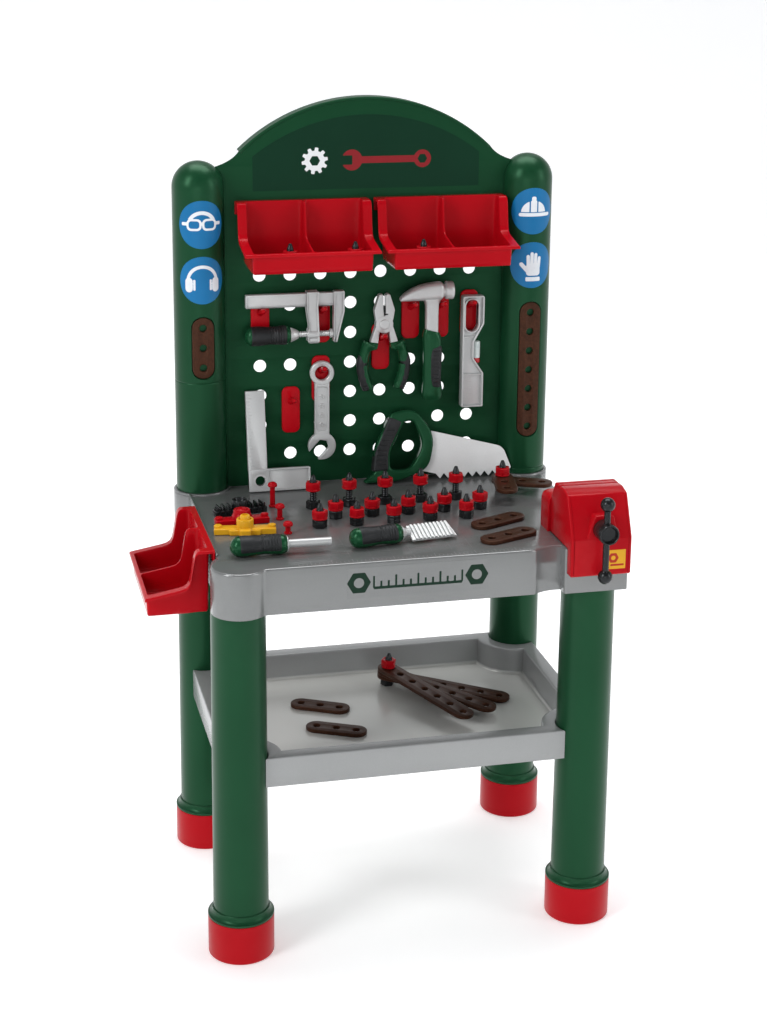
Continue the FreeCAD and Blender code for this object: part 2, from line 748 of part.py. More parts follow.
def make_clamp():
    y = board_y - clamp_depth
    half = clamp_bar_depth / 2
    low = arm_top(row_z(5), clamp_depth + half) + gap
    high = low + clamp_bar_height
    axis_z = low - clamp_screw_drop
    tip = axis_z - 11.0
    bar = prism_y(rectangle(clamp_left, clamp_right - 8, low, high, 1.5), y - half, y + half)
    jaw = prism_y([(clamp_right - 14, tip, 1), (clamp_right - 9.5, tip, 1), (clamp_right, low - 8, 6),
                   (clamp_right, high + 1.5, 1), (clamp_right - 14, high + 1.5, 1)], y - 6, y + 6)
    parts["clamp_frame"] = join([bar, jaw])

    x0, x1 = clamp_arm_x
    arm = prism_y([(x0 + 1, tip, 3), (x1 + 0.5, tip, 3), (x1 - 1.5, low, 10), (x1 - 0.5, high + 2, 1),
                   (x0, high + 2, 1),
                   (x0, low - 4, 12), (x0 + 3.5, axis_z + 10, 8)], y - 7.5, y + 7.5)
    window = box(x0 - 2, x1 + 2, y - half - gap, y + half + gap, low - gap, high + gap)
    thread_radius = 4.0
    bore = rod((x0 - 2, y, axis_z), (x1 + 2, y, axis_z), thread_radius + 0.05)
    boss = rod((x0 + 2, y, axis_z), (x1 - 1, y, axis_z), 8.0)
    parts["clamp_arm"] = arm.fuse(boss).cut(window).cut(bore)

    pad_x = clamp_right - 14 - gap
    pad = rod((pad_x - 4.5, y, axis_z), (pad_x, y, axis_z), 6.0)
    socket = rod((pad_x - 4.6, y, axis_z), (pad_x - 1.8, y, axis_z), 3.0 + 0.1)
    parts["clamp_pad"] = pad.cut(socket)

    ferrule_x = x0 - 10.0
    thread = rod((ferrule_x - 8, y, axis_z), (pad_x - 5.0, y, axis_z), thread_radius)
    nose = rod((pad_x - 5.1, y, axis_z), (pad_x - 2.0, y, axis_z), 3.0)
    ferrule = taper((ferrule_x - 11, y, axis_z), (ferrule_x, y, axis_z), 9.5, 5.0)
    parts["clamp_screw"] = join([thread, nose, ferrule])
    handle_x = ferrule_x - 11 - 60.0
    grip_x = (handle_x + 8.0, ferrule_x - 15.0)
    handle = rod((handle_x, y, axis_z), (ferrule_x - 11, y, axis_z), clamp_handle_radius)
    handle = eased(handle, 4.0, lambda e: e.BoundBox.XLength < 0.01)
    band = rod((grip_x[0], y, axis_z), (grip_x[1], y, axis_z), clamp_handle_radius + 1)
    core = rod((grip_x[0], y, axis_z), (grip_x[1], y, axis_z), clamp_handle_radius - 2.5)
    groove = band.cut(core)
    parts["clamp_handle"] = handle.cut(groove)
    parts["clamp_grip"] = handle.common(groove)


# ------------------------------------------------------------ pliers
pliers_depth = 12.0
pliers_lap = 12.0            # radius of the lapped joint
pliers_half_depth = 5.0


def make_pliers():
    y = board_y - pliers_depth
    x = column_x(4) + 2.0
    crotch = arm_top(row_z(4), pliers_depth + pliers_half_depth) + gap
    z = crotch + pliers_lap
    front = y - pliers_half_depth
    rear = y + pliers_half_depth
    jaw = [(0.5, 9.5, 0), (1.5, 20, 0), (1.5, 39, 1), (6.5, 42, 3), (13.8, 19, 6), (11.5, 6, 3),
           (8, 0, 0), (0.5, 3, 0)]
    shank = [(-11, -1, 3), (-19, -25, 1), (-9, -29, 1), (-6.4, -10.5, 0), (-1, -5, 0), (-5, 1, 0)]
    grip = [(-26, -22, 2), (-6.0, -30, 2), (-16, -50, 16), (-16, -87, 4), (-27, -87, 5), (-33, -56, 18)]

    def moved(points, mirror):
        return [(x + mirror * u, z + v, r) for u, v, r in points]

    for name, mirror, lap_y in (("front", 1, (front, y - 0.15)), ("rear", -1, (y + 0.15, rear))):
        away = (y - 0.15, rear + 1) if name == "front" else (front - 1, y + 0.15)
        half = prism_y(moved(jaw, mirror), front, rear).fuse(prism_y(moved(shank, mirror), front, rear))
        half = half.cut(rod((x, away[0], z), (x, away[1], z), pliers_lap + gap))
        half = half.fuse(rod((x, lap_y[0], z), (x, lap_y[1], z), pliers_lap))
        half = half.cut(rod((x, front - 1, z), (x, rear + 1, z), 3.0 + gap))
        handle = prism_y(moved(grip, mirror), y - 7.0, y + 7.0)
        if name == "front":
            pin = rod((x, front - 1.2, z), (x, rear, z), 3.0)
            head = rod((x, front - 1.4, z), (x, front + 1, z), 7.2)
            half = half.fuse([pin, head])
        parts["pliers_" + name] = half.removeSplitter()
        handle = handle.cut(half)
        inset = prism_y(moved([(-34, -34, 0), (-24, -34, 0), (-24, -80, 0), (-34, -80, 0)], mirror),
                        y - 8, y + 8)
        parts["pliers_handle_" + name] = handle.cut(inset)
        parts["pliers_grip_" + name] = handle.common(inset)


# ------------------------------------------------------------ hammer
def make_hammer():
    depth = 16.5
    y = board_y - depth
    half = 9.0
    x = 85.5
    low = arm_top(row_z(5), depth + half) + gap
    head = [(x - 43, low, 2), (x - 41, low + 6, 3), (x - 12, low + 20, 40), (x + 12, low + 25, 8),
            (x + 14, low, 1),
            (x + 9.5, low, 0), (x + 8.5, low - 4, 0), (x - 8.5, low - 4, 1), (x - 16, low, 4)]
    poll = rod((x + 12, y, low + 12.3), (x + 17, y, low + 12.3), 9.0)
    tip = rod((x + 16, y, low + 12.3), (x + 28, y, low + 12.3), 12.0)
    tip = eased(tip, 1.5, lambda e: e.BoundBox.XLength < 0.01)
    neck_low = low - 62.0
    neck = prism_y(rectangle(x - 8.5, x + 8.5, neck_low, low - 4, 0), y - 6, y + 6)
    end_low = low - 133.0
    grip_high = low - 38.0
    sleeve = prism_y([(x - 13, end_low, 5), (x + 16, end_low, 5), (x + 15, end_low + 12, 12),
                      (x + 13, end_low + 46, 20),
                      (x + 14, grip_high - 14, 6), (x - 12, grip_high, 4), (x - 13, grip_high - 12, 8),
                      (x - 11, end_low + 40, 30)], y - 10.0, y + 9.0)
    pad = prism_y(rectangle(x - 3, x + 20, end_low + 13, grip_high - 26, 6), y - 11, y + 10)
    body = join([prism_y(head, y - half, y + half), poll, tip, neck])
    sleeve = sleeve.cut(neck)
    parts["hammer_head"] = body
    parts["hammer_handle"] = sleeve.cut(pad)
    parts["hammer_grip"] = sleeve.common(pad)


# ------------------------------------------------------------ spirit level
def make_level():
    depth = 14.0
    rear = board_y - 4.4
    front = rear - depth
    x0, x1 = 127.8, 157.2
    window_top = arm_top(row_z(5), board_y - front) + gap
    window_radius = 8.8
    window_x = 140.5
    window_low = window_top - 43.0
    top = window_top + 5.0
    low = top - 151.0
    notch_x = x1 - 13.5
    outline = [(x0, low, 2), (x1, low, 2), (x1, top - 105, 5), (notch_x, top - 85, 4),
               (notch_x, top - 62, 4),
               (x1, top - 38, 5), (x1, top, 3), (x0, top, 3)]
    body = prism_y(outline, front, rear)
    window = prism_y(rectangle(window_x - window_radius, window_x + window_radius, window_low,
                               window_top,
                               window_radius - 0.01), front - 1, rear + 1)
    well = prism_y(rectangle(x0 + 2.5, x1 - 2.5, low + 2.5, top - 109, 1), front - 1, front + 6)
    side_well = prism_y(rectangle(x0 + 2.5, notch_x - 2.5, top - 103, top - 56, 1), front - 1,
                        front + 6)
    seat = rod((notch_x + 5, front + 7, top - 92), (notch_x + 5, front + 7, top - 56), 5.2)
    parts["level_body"] = body.cut(window).cut(well).cut(side_well).cut(seat)
    vial = rod((notch_x + 5, front + 7, top - 91.5), (notch_x + 5, front + 7, top - 62), 5.0)
    parts["level_vial"] = eased(vial, 1.5, lambda e: e.BoundBox.ZLength < 0.01)


# ------------------------------------------------------------ wrench
def make_wrench():
    depth_front, depth_rear = 13.0, 6.0
    front, rear = board_y - depth_front, board_y - depth_rear
    x = column_x(2)
    eye_radius, eye_outer = 9.5, 16.0
    z = arm_top(row_z(3), depth_front) + gap - eye_radius
    jaw_z = z - 99.0
    ring = rod((x, front, z), (x, rear, z), eye_outer)
    shank = prism_y([(x - 9.5, jaw_z + 10, 0), (x + 9.5, jaw_z + 10, 0), (x + 9.5, z - 10, 0),
                     (x - 9.5, z - 10, 0)],
                    front + 1, rear - 1)
    jaw = rod((x, front, jaw_z), (x, rear, jaw_z), 18.4)
    eye = rod((x, front - 1, z), (x, rear + 1, z), eye_radius)
    mouth = [(9.6 * math.cos(math.radians(60 * i)), 9.6 * math.sin(math.radians(60 * i)), 0)
             for i in range(6)]
    opening = prism_y([(u, v, 0) for u, v, r in mouth], front - 1, rear + 1)
    opening = opening.fuse(box(-30, 0, front - 1, rear + 1, -8.3, 8.3))
    opening.rotate(V(0, 0, 0), V(0, 1, 0), -48)
    opening.translate(V(x, 0, jaw_z))
    parts["wrench"] = join([ring, shank, jaw]).cut(eye).cut(opening)


# ------------------------------------------------------------ try square
def make_square():
    height, length, thick = 132.0, 82.0, 8.0
    foot_y = board_y - 26.5
    lean = math.asin((board_y - gap - foot_y) / height)
    x = -161.0
    blade = rectangle(x, x + 25, 0, height, 1)
    stock = rectangle(x, x + length, 0, 29.5, 2)
    shape = join([prism_y(blade, -thick, 0), prism_y(stock, -thick, 0)])
    shape = shape.cut(rod((x + 15, -thick - 1, 14), (x + 15, 1, 14), 6.5))
    well = prism_y(rectangle(x + 27.5, x + length - 2.5, 2.5, 27, 1), -thick - 1, -thick + 2.5)
    shape = shape.cut(well)
    shape.rotate(V(0, 0, 0), V(1, 0, 0), -math.degrees(lean))
    shape.translate(V(0, foot_y, bench_height + 0.1))
    parts["try_square"] = shape


# ------------------------------------------------------------ saw
def make_saw():
    half = 7.5
    lean = 11.0
    outer = [(-10, 0.2, 2), (38, 0.2, 30), (82, 15, 22), (92, 60, 32), (64, 99, 22), (33, 92, 6),
             (6, 42, 40), (8, 14, 8)]
    inner = [(29, 17, 6), (56, 15, 16), (76, 46, 22), (62, 82, 9), (50, 79, 5), (29, 40, 24)]
    ring = prism_y(outer, -half, half).cut(prism_y(inner, -half - 1, half + 1))
    pad = prism_y([(2, 15, 2), (28.9, 15, 2), (51, 76, 2), (26, 90, 2), (4, 46, 10)], -half - 1,
                  half + 1)
    top_teeth = [(84.5, 66, 0), (186, 39, 16), (199, 4, 3)]
    teeth = []
    count = 9
    start, end = 193.0, 92.0
    pitch = (start - end) / count
    for i in range(count):
        root = start - i * pitch
        teeth.append((root, 7.5, 0))
        teeth.append((root - pitch / 2, 0.6, 0))
    blade = prism_y(top_teeth + teeth + [(92, 7.5, 0), (78, 12, 0), (72, 30, 0)], -1.5, 1.5)
    blade = blade.cut(ring)
    for name, shape in (("saw_blade", blade), ("saw_handle", ring.cut(pad)),
                        ("saw_grip", ring.common(pad))):
        if name == "saw_blade":
            shape = max(shape.Solids, key=lambda s: s.Volume)
        shape.rotate(V(0, 0, 0), V(1, 0, 0), -lean)
        rise = half * math.sin(math.radians(lean))
        top_reach = 99 * math.sin(math.radians(lean)) + half
        shape.translate(V(0, board_y - gap - top_reach, bench_height + rise + 0.1))
        parts[name] = shape


# ------------------------------------------------------------ driver and rasp
def tool_handle(length, radius, band_start, band_end):
    """A green handle along -X from the origin and its black band."""
    body = rod((-length, 0, 0), (0, 0, 0), radius)
    body = eased(body, 4.0, lambda e: e.BoundBox.XLength < 0.01)
    outer = rod((band_start, 0, 0), (band_end, 0, 0), radius + 1)
    groove = outer.cut(rod((band_start, 0, 0), (band_end, 0, 0), radius - 2.5))
    return body.cut(groove), body.common(groove)


def make_table_tools():
    radius = 12.3
    deck = bench_height
    handle, grip = tool_handle(68.0, radius, -60.0, -12.0)
    shaft = rod((0.02, 0, 0), (54, 0, 0), 5.0)
    socket = [(3.4 * math.cos(math.radians(60 * i)), 3.4 * math.sin(math.radians(60 * i)), 0)
              for i in range(6)]
    shaft = shaft.cut(prism_x(socket, 44, 55))
    for name, shape in (("driver_handle", handle), ("driver_grip", grip), ("driver_shaft", shaft)):
        parts[name] = placed(shape, -156.0, -132.0, deck + radius + 0.05, -1)

    handle, grip = tool_handle(66.0, radius, -56.0, -14.0)
    blade = prism_y([(0.02, -5, 0), (70, -5, 2), (66, 5, 2), (0.02, 5, 0)], -13, 13)
    for name, shape in (("rasp_handle", handle), ("rasp_grip", grip), ("rasp_blade", blade)):
        drop = 0 if name != "rasp_blade" else 6.0 - radius
        parts[name] = placed(shape, -14.0, -122.0, deck + radius + 0.05 + drop, 8)


def main():
    make_legs()
    make_shelf()
    make_tabletop()
    make_board()
    make_bins()
    make_hooks()
    make_hardware()
    make_bin_contents()
    make_wing_pieces()
    make_vise()
    make_clamp()
    make_pliers()
    make_hammer()
    make_level()
    make_wrench()
    make_square()
    make_saw()
    make_table_tools()
    left = -bench_half_x - bin_depth - 2.5
    right = leg_x + collar_radius
    back = leg_y + foot_radius
    to_origin = V(-(left + right) / 2, -(hub_front + back) / 2, 0)
    os.makedirs("parts", exist_ok=True)
    for name, shape in parts.items():
        shape.translate(to_origin)
        shape.exportStep("parts/" + name + ".step")
        if not shape.isValid():
            print("not valid:", name)
        print(name, len(shape.Solids), round(shape.Volume / 1000, 2))
    print("shift", tuple(to_origin), "nodes", len(parts))


main()
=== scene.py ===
"""A toy workbench: silver bench and shelf on green legs, a green peg board with red bins
and hooks, hand tools, a red vise, bolts, nuts and perforated strips.

Sizes and places below are in millimetres from the middle of the four feet, on the floor:
+X to the right, +Y to the back, +Z up. A point goes to metres as (point + MIDDLE) * MM.
"""
import math
import bmesh
import bpy
import numpy as np
from mathutils import Matrix, Vector
from mathutils.geometry import tessellate_polygon


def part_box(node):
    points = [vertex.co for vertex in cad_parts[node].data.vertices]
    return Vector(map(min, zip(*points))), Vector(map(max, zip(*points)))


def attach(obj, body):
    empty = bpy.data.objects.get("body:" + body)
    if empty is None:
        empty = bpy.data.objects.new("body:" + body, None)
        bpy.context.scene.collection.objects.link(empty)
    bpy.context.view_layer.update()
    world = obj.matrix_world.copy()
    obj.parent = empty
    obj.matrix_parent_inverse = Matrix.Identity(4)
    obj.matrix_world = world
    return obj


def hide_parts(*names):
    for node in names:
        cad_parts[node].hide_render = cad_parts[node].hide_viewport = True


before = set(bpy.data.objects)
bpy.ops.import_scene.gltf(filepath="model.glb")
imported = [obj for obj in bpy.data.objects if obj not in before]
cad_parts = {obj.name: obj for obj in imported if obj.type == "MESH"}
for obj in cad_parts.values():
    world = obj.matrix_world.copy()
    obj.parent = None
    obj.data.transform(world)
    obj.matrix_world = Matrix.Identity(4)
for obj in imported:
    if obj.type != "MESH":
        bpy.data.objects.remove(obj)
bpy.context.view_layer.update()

MM = 0.001
feet_low, feet_high = (np.array(corner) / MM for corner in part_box("foot_caps"))
MIDDLE = np.array([(feet_low[0] + feet_high[0]) / 2, (feet_low[1] + feet_high[1]) / 2, 0.0])


# ---------------------------------------------------------------- sizes and places
LEG_X, LEG_Y = 217.5, 148.5      # leg axes
FOOT_RADIUS, FOOT_TOP = 40.7, 50.0
BENCH_TOP, BENCH_LOW = 506.0, 449.0
BENCH_SIDE = 239.5               # side walls of the bench
SHELF_TOP, SHELF_LOW = 260.0, 222.0
SHELF_FLOOR = 225.0
POST_Y, POST_RADIUS = 142.2, 33.0
LEFT_POCKET, RIGHT_POCKET = 742.5, 745.0    # tops of the strip pockets in the posts
POCKET_DEPTH = 7.0
BOARD_Y, BOARD_THICK = 138.4, 3.0           # front face of the peg board
ARCH_RADIUS, ARCH_HALF = 239.3, 165.0
ARCH_CENTRE = 1014.5 - ARCH_RADIUS
ARCH_END = math.degrees(math.asin(ARCH_HALF / ARCH_RADIUS))
PEG_PITCH, PEG_ROW, PEG_HOLE = 40.0, 547.8, 8.25
HOOK_SLOPE = math.radians(15)
HOOK_ARM_DROP, HOOK_ARM_RADIUS = 8.5, 3.6
BIN_TOP, SIDE_BIN_TOP, SIDE_BIN_Y = 885.5, 512.0, -35.0
LEFT_BIN_X, RIGHT_BIN_X = -85.1, 96.3
BIN_HALF, BIN_REACH, BIN_WALL, BIN_FLOOR = 86.8, 84.5, 2.2, -78.8
STRIP_PITCH, STRIP_HALF = 26.0, 14.0
BOLT_HEAD, BOLT_RADIUS, NUT_HEIGHT = 10.5, 4.4, 11.5
VISE_X, VISE_AXIS = 213.5, 534.6
HANDLE_RADIUS = 12.3


def column_x(index):
    """Middle of a column of peg holes, counted from the left."""
    return (index - 3.5) * PEG_PITCH


def row_z(index):
    """Height of a row of peg holes, counted from the bottom."""
    return PEG_ROW + index * PEG_PITCH


# ---------------------------------------------------------------- outlines in a plane
def outline(corners, step=9.0):
    """Closed loop through (u, v, radius) corners, anticlockwise: each corner is the arc
    that touches both of its sides, in steps of about the given number of degrees."""
    points = np.array([c[:2] for c in corners], float)
    radii = [c[2] for c in corners]
    area = np.sum(points[:, 0] * np.roll(points[:, 1], -1) - np.roll(points[:, 0], -1) * points[:, 1])
    if area < 0:
        points = points[::-1]
        radii = radii[::-1]
    loop = []
    for i, radius in enumerate(radii):
        corner = points[i]
        back = points[i - 1] - corner
        ahead = points[(i + 1) % len(points)] - corner
        back = back / np.linalg.norm(back)
        ahead = ahead / np.linalg.norm(ahead)
        half = math.acos(np.clip(np.dot(back, ahead), -1, 1)) / 2
        if radius <= 0 or abs(half - math.pi / 2) < 1e-3:
            loop.append(corner[None])
            continue
        centre = corner + (back + ahead) / np.linalg.norm(back + ahead) * radius / math.sin(half)
        first = corner + back * radius / math.tan(half) - centre
        last = corner + ahead * radius / math.tan(half) - centre
        start = math.atan2(first[1], first[0])
        turn = (math.atan2(last[1], last[0]) - start + math.pi) % (2 * math.pi) - math.pi
        count = max(2, int(abs(math.degrees(turn)) / step) + 1)
        angles = start + turn * np.linspace(0, 1, count)
        loop.append(centre + radius * np.stack([np.cos(angles), np.sin(angles)], 1))
    loop = np.concatenate(loop)
    keep = np.linalg.norm(loop - np.roll(loop, 1, 0), axis=1) > 1e-3
    return loop[keep]


def circle(u, v, radius, count=32):
    """Closed loop of points round (u, v), anticlockwise."""
    angles = np.arange(count) * 2 * math.pi / count
    return np.stack([u + radius * np.cos(angles), v + radius * np.sin(angles)], 1)


def six_loop(u, v, corner_radius, turn=0.0):
    """A hexagon about (u, v)."""
    angles = np.radians(turn + 60.0 * np.arange(6))
    return np.stack([u + corner_radius * np.cos(angles), v + corner_radius * np.sin(angles)], 1)


def box_corners(u0, u1, v0, v1, radius):
    """The four corners of a rectangle, each with the same rounding radius."""
    return [(u0, v0, radius), (u1, v0, radius), (u1, v1, radius), (u0, v1, radius)]


def inset(loop, distance):
    """The loop moved inwards by distance: each point along the mitre of its two sides."""
    side = np.roll(loop, -1, 0) - loop
    side = side / np.linalg.norm(side, axis=1)[:, None]
    normal = np.stack([-side[:, 1], side[:, 0]], 1)
    before = np.roll(normal, 1, 0)
    mitre = (normal + before) / np.maximum(0.35, 1 + np.sum(normal * before, 1))[:, None]
    return loop + mitre * distance


def softened(loop, spacing, reach):
    """The loop at an even spacing with each point replaced by the average of its neighbours
    up to reach points away."""
    even = thinned(loop, spacing)
    window = np.hanning(2 * reach + 3)[1:-1]
    window /= window.sum()
    padded = np.concatenate([even[-reach:], even, even[:reach]])
    return np.stack([np.convolve(padded[:, k], window, "valid") for k in (0, 1)], 1)


def thinned(loop, spacing):
    """The loop with points added so that no side is longer than spacing."""
    parts = []
    for a, b in zip(loop, np.roll(loop, -1, 0)):
        count = max(1, int(np.linalg.norm(b - a) / spacing))
        parts.append(a + (b - a) * (np.arange(count) / count)[:, None])
    return np.concatenate(parts)


# ---------------------------------------------------------------- solids as (points, faces)
def quads(rows, columns, wrap):
    """Index quads of a rows by columns grid; wrap joins the last column to the first."""
    r, c = np.meshgrid(np.arange(rows - 1), np.arange(columns if wrap else columns - 1), indexing="ij")
    following = (c + 1) % columns
    return np.stack([r * columns + c, r * columns + following, (r + 1) * columns + following,
                     (r + 1) * columns + c], -1).reshape(-1, 4)


def skin(rows):
    """Loops (rows, points, 3) joined by quads, with the first and last loop closed flat."""
    rows = np.asarray(rows, float)
    count, columns = rows.shape[:2]
    faces = [tuple(f) for f in quads(count, columns, True).tolist()]
    for start in (0, (count - 1) * columns):
        cap = tessellate_polygon([[Vector(p) for p in rows[start // columns]]])
        faces += [tuple(start + i for i in triangle) for triangle in cap]
    return rows.reshape(-1, 3), faces


def plate(outer, low, high, bevel=0.8, holes=(), steps=3, high_bevel=None):
    """Flat piece (u, v, w) from w = low to w = high. Its rims are quarter rounds: at angle t
    the outline is inset by bevel * (1 - sin t) and lies bevel * (1 - cos t) off the face."""
    top = bevel if high_bevel is None else high_bevel
    angles = np.linspace(0, math.pi / 2, steps + 1)
    insets = np.concatenate([bevel * (1 - np.sin(angles)), top * (1 - np.sin(angles[::-1]))])
    levels = np.concatenate([low + bevel * (1 - np.cos(angles)), high - top * (1 - np.cos(angles[::-1]))])
    points, faces, first_caps, last_caps, total = [], [], [], [], 0
    ring_ids = []
    for number, loop in enumerate([outer] + list(holes)):
        sign = 1 if number == 0 else -1
        columns = len(loop)
        rows = [np.column_stack([inset(loop, sign * d), np.full(columns, w)]) for d, w in zip(insets, levels)]
        grid = quads(len(rows), columns, True) + total
        faces += [tuple(f) for f in grid.tolist()]
        points += rows
        first_caps.append(rows[0])
        last_caps.append(rows[-1])
        ring_ids.append((total, total + (len(rows) - 1) * columns, columns))
        total += len(rows) * columns
    for which, caps in ((0, first_caps), (1, last_caps)):
        ids = np.concatenate([np.arange(r[which], r[which] + r[2]) for r in ring_ids])
        flat = [[Vector((p[0], p[1], 0)) for p in cap] for cap in caps]
        faces += [tuple(int(ids[i]) for i in triangle) for triangle in tessellate_polygon(flat)]
    return np.concatenate(points), faces


def front_plate(*sizes, **more):
    """A plate whose (u, v, w) is (x, z, y): w grows to the back."""
    points, faces = plate(*sizes, **more)
    return points[:, [0, 2, 1]], faces


def side_plate(*sizes, **more):
    """A plate whose (u, v, w) is (y, z, x)."""
    points, faces = plate(*sizes, **more)
    return points[:, [2, 0, 1]], faces


def turned(profile, count=48, axis="z", centre=(0, 0, 0)):
    """Surface of revolution: each (radius, height) of the profile goes round the axis.
    A closed profile makes a ring or a tube."""
    profile = np.asarray(profile, float)
    angles = np.arange(count) * 2 * math.pi / count
    radius = profile[:, 0][:, None]
    a, b = radius * np.cos(angles), radius * np.sin(angles)
    h = np.broadcast_to(profile[:, 1][:, None], a.shape)
    order = {"z": (a, b, h), "x": (h, a, b), "y": (a, h, b)}[axis]
    points = np.stack(order, -1).reshape(-1, 3) + np.array(centre, float)
    closed = np.allclose(profile[0], profile[-1])
    rows = len(profile)
    faces = [tuple(f) for f in quads(rows, count, True).tolist()]
    if not closed:
        for start in (0, (rows - 1) * count):
            if profile[start // count, 0] > 1e-6:
                faces.append(tuple(range(start, start + count)))
    return points, faces


def swept(path, radii, count=20, flat=1.0, spin=0.0):
    """Round bar along a path: at each path point a circle of its radius, squashed by flat
    along the second cross direction, lies square to the path. The ends are closed."""
    path = np.asarray(path, float)
    radii = np.broadcast_to(np.asarray(radii, float), len(path))
    tangent = np.gradient(path, axis=0)
    tangent /= np.linalg.norm(tangent, axis=1)[:, None]
    guide = np.array([0, 0, 1.0]) if abs(tangent[0][2]) < 0.9 else np.array([0, 1.0, 0])
    across = np.cross(tangent, guide)
    across /= np.linalg.norm(across, axis=1)[:, None]
    upward = np.cross(across, tangent)
    angles = np.arange(count) * 2 * math.pi / count + spin
    rings = (path[:, None] + radii[:, None, None] * (np.cos(angles)[None, :, None] * across[:, None]
             + flat * np.sin(angles)[None, :, None] * upward[:, None]))
    return skin(rings)


def rod_with_round_ends(start, end, radius, rounding=None, count=24):
    """Straight bar whose ends are quarter rounds of the given rounding."""
    start, end = np.array(start, float), np.array(end, float)
    length = np.linalg.norm(end - start)
    along = (end - start) / length
    rounding = radius * 0.999 if rounding is None else rounding
    t = np.linspace(0, math.pi / 2, 6)
    depth = np.concatenate([rounding * (1 - np.cos(t)), length - rounding * (1 - np.cos(t[::-1]))])
    size = np.concatenate([radius - rounding * (1 - np.sin(t)), radius - rounding * (1 - np.sin(t[::-1]))])
    return swept(start + depth[:, None] * along, size, count)


def threaded(start, end, radius, pitch=2.6, depth=0.7, count=20):
    """Bar with ring threads: the radius falls by depth between crests one pitch apart."""
    start, end = np.array(start, float), np.array(end, float)
    length = np.linalg.norm(end - start)
    turns = max(2, int(length / pitch))
    s = np.linspace(0, 1, turns * 4 + 1)
    wave = 0.5 + 0.5 * np.cos(s * turns * 2 * math.pi)
    return swept(start + s[:, None] * (end - start), radius - depth * wave, count)


def ball(centre, radius, count=32):
    """A sphere about its centre."""
    t = np.linspace(-math.pi / 2, math.pi / 2, 17)
    return turned(np.stack([radius * np.cos(t), radius * np.sin(t)], 1), count, "z", centre)


def lofted(stations, count=28, power=2.4):
    """Handle through stations (centre x, y, z, half width along x, half depth along y), for
    a handle that runs up z: each ring is |x/a|^power + |y/b|^power = 1."""
    stations = np.array(stations, float)
    keys = stations[:, 2]
    z = np.linspace(keys[0], keys[-1], 44)
    ease = [np.interp(z, keys, stations[:, k]) for k in (0, 1, 3, 4)]
    kernel = np.array([1, 4, 6, 4, 1]) / 16
    ease = [np.convolve(np.pad(e, 2, mode="edge"), kernel, "valid") for e in ease]
    angles = np.arange(count) * 2 * math.pi / count
    c, s = np.cos(angles), np.sin(angles)
    shape = (np.abs(c) ** power + np.abs(s) ** power) ** (-1 / power)
    x = ease[0][:, None] + ease[2][:, None] * shape * c
    y = ease[1][:, None] + ease[3][:, None] * shape * s
    return skin(np.stack([x, y, np.broadcast_to(z[:, None], x.shape)], -1))


def two_sided(front, back):
    """Closed thin sheet between two (rows, columns, 3) grids, joined along their border."""
    rows, columns = front.shape[:2]
    size = rows * columns
    faces = quads(rows, columns, False)
    ids = np.arange(size).reshape(rows, columns)
    border = np.concatenate([ids[0, :-1], ids[:-1, -1], ids[-1, :0:-1], ids[:0:-1, 0]])
    ring = np.stack([border, np.roll(border, -1), np.roll(border, -1) + size, border + size], 1)
    all_faces = np.concatenate([faces, faces[:, ::-1] + size, ring])
    return np.concatenate([front.reshape(-1, 3), back.reshape(-1, 3)]), [tuple(f) for f in all_faces.tolist()]


def moved(solid, shift=(0, 0, 0), turn_z=0.0, turn_x=0.0, turn_y=0.0):
    """The solid turned about x, then y, then z (degrees) through the origin, then shifted."""
    turn = (Matrix.Rotation(math.radians(turn_z), 3, "Z") @ Matrix.Rotation(math.radians(turn_y), 3, "Y")
            @ Matrix.Rotation(math.radians(turn_x), 3, "X"))
    return solid[0] @ np.array(turn).T + np.array(shift, float), solid[1]


# ---------------------------------------------------------------- making pieces
def piece(name, solids, body, finish, stands_for=(), marks=None, crease=38.0):
    """One object from several closed solids in millimetres. Without marks, points at the same
    place are merged; faces are turned outwards and edges sharper than crease degrees stay crisp."""
    points, faces, total = [], [], 0
    for solid_points, solid_faces in solids:
        points.append(solid_points)
        faces += [tuple(i + total for i in face) for face in solid_faces]
        total += len(solid_points)
    mesh = bpy.data.meshes.new(name)
    mesh.from_pydata(((np.concatenate(points) + MIDDLE) * MM).tolist(), [], faces)
    if marks is not None:
        mesh.attributes.new("mark", "FLOAT", "POINT").data.foreach_set("value", np.asarray(marks, np.float32))
    shape = bmesh.new()
    shape.from_mesh(mesh)
    if marks is None:
        bmesh.ops.remove_doubles(shape, verts=shape.verts, dist=2e-6)
        bmesh.ops.dissolve_degenerate(shape, dist=1e-6, edges=shape.edges)
    bmesh.ops.recalc_face_normals(shape, faces=shape.faces)
    shape.to_mesh(mesh)
    shape.free()
    mesh.polygons.foreach_set("use_smooth", np.ones(len(mesh.polygons), bool))
    mesh.set_sharp_from_angle(angle=math.radians(crease))
    mesh.materials.append(finish)
    thing = bpy.data.objects.new(name, mesh)
    bpy.context.scene.collection.objects.link(thing)
    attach(thing, body)
    if stands_for:
        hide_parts(*stands_for)
    return thing


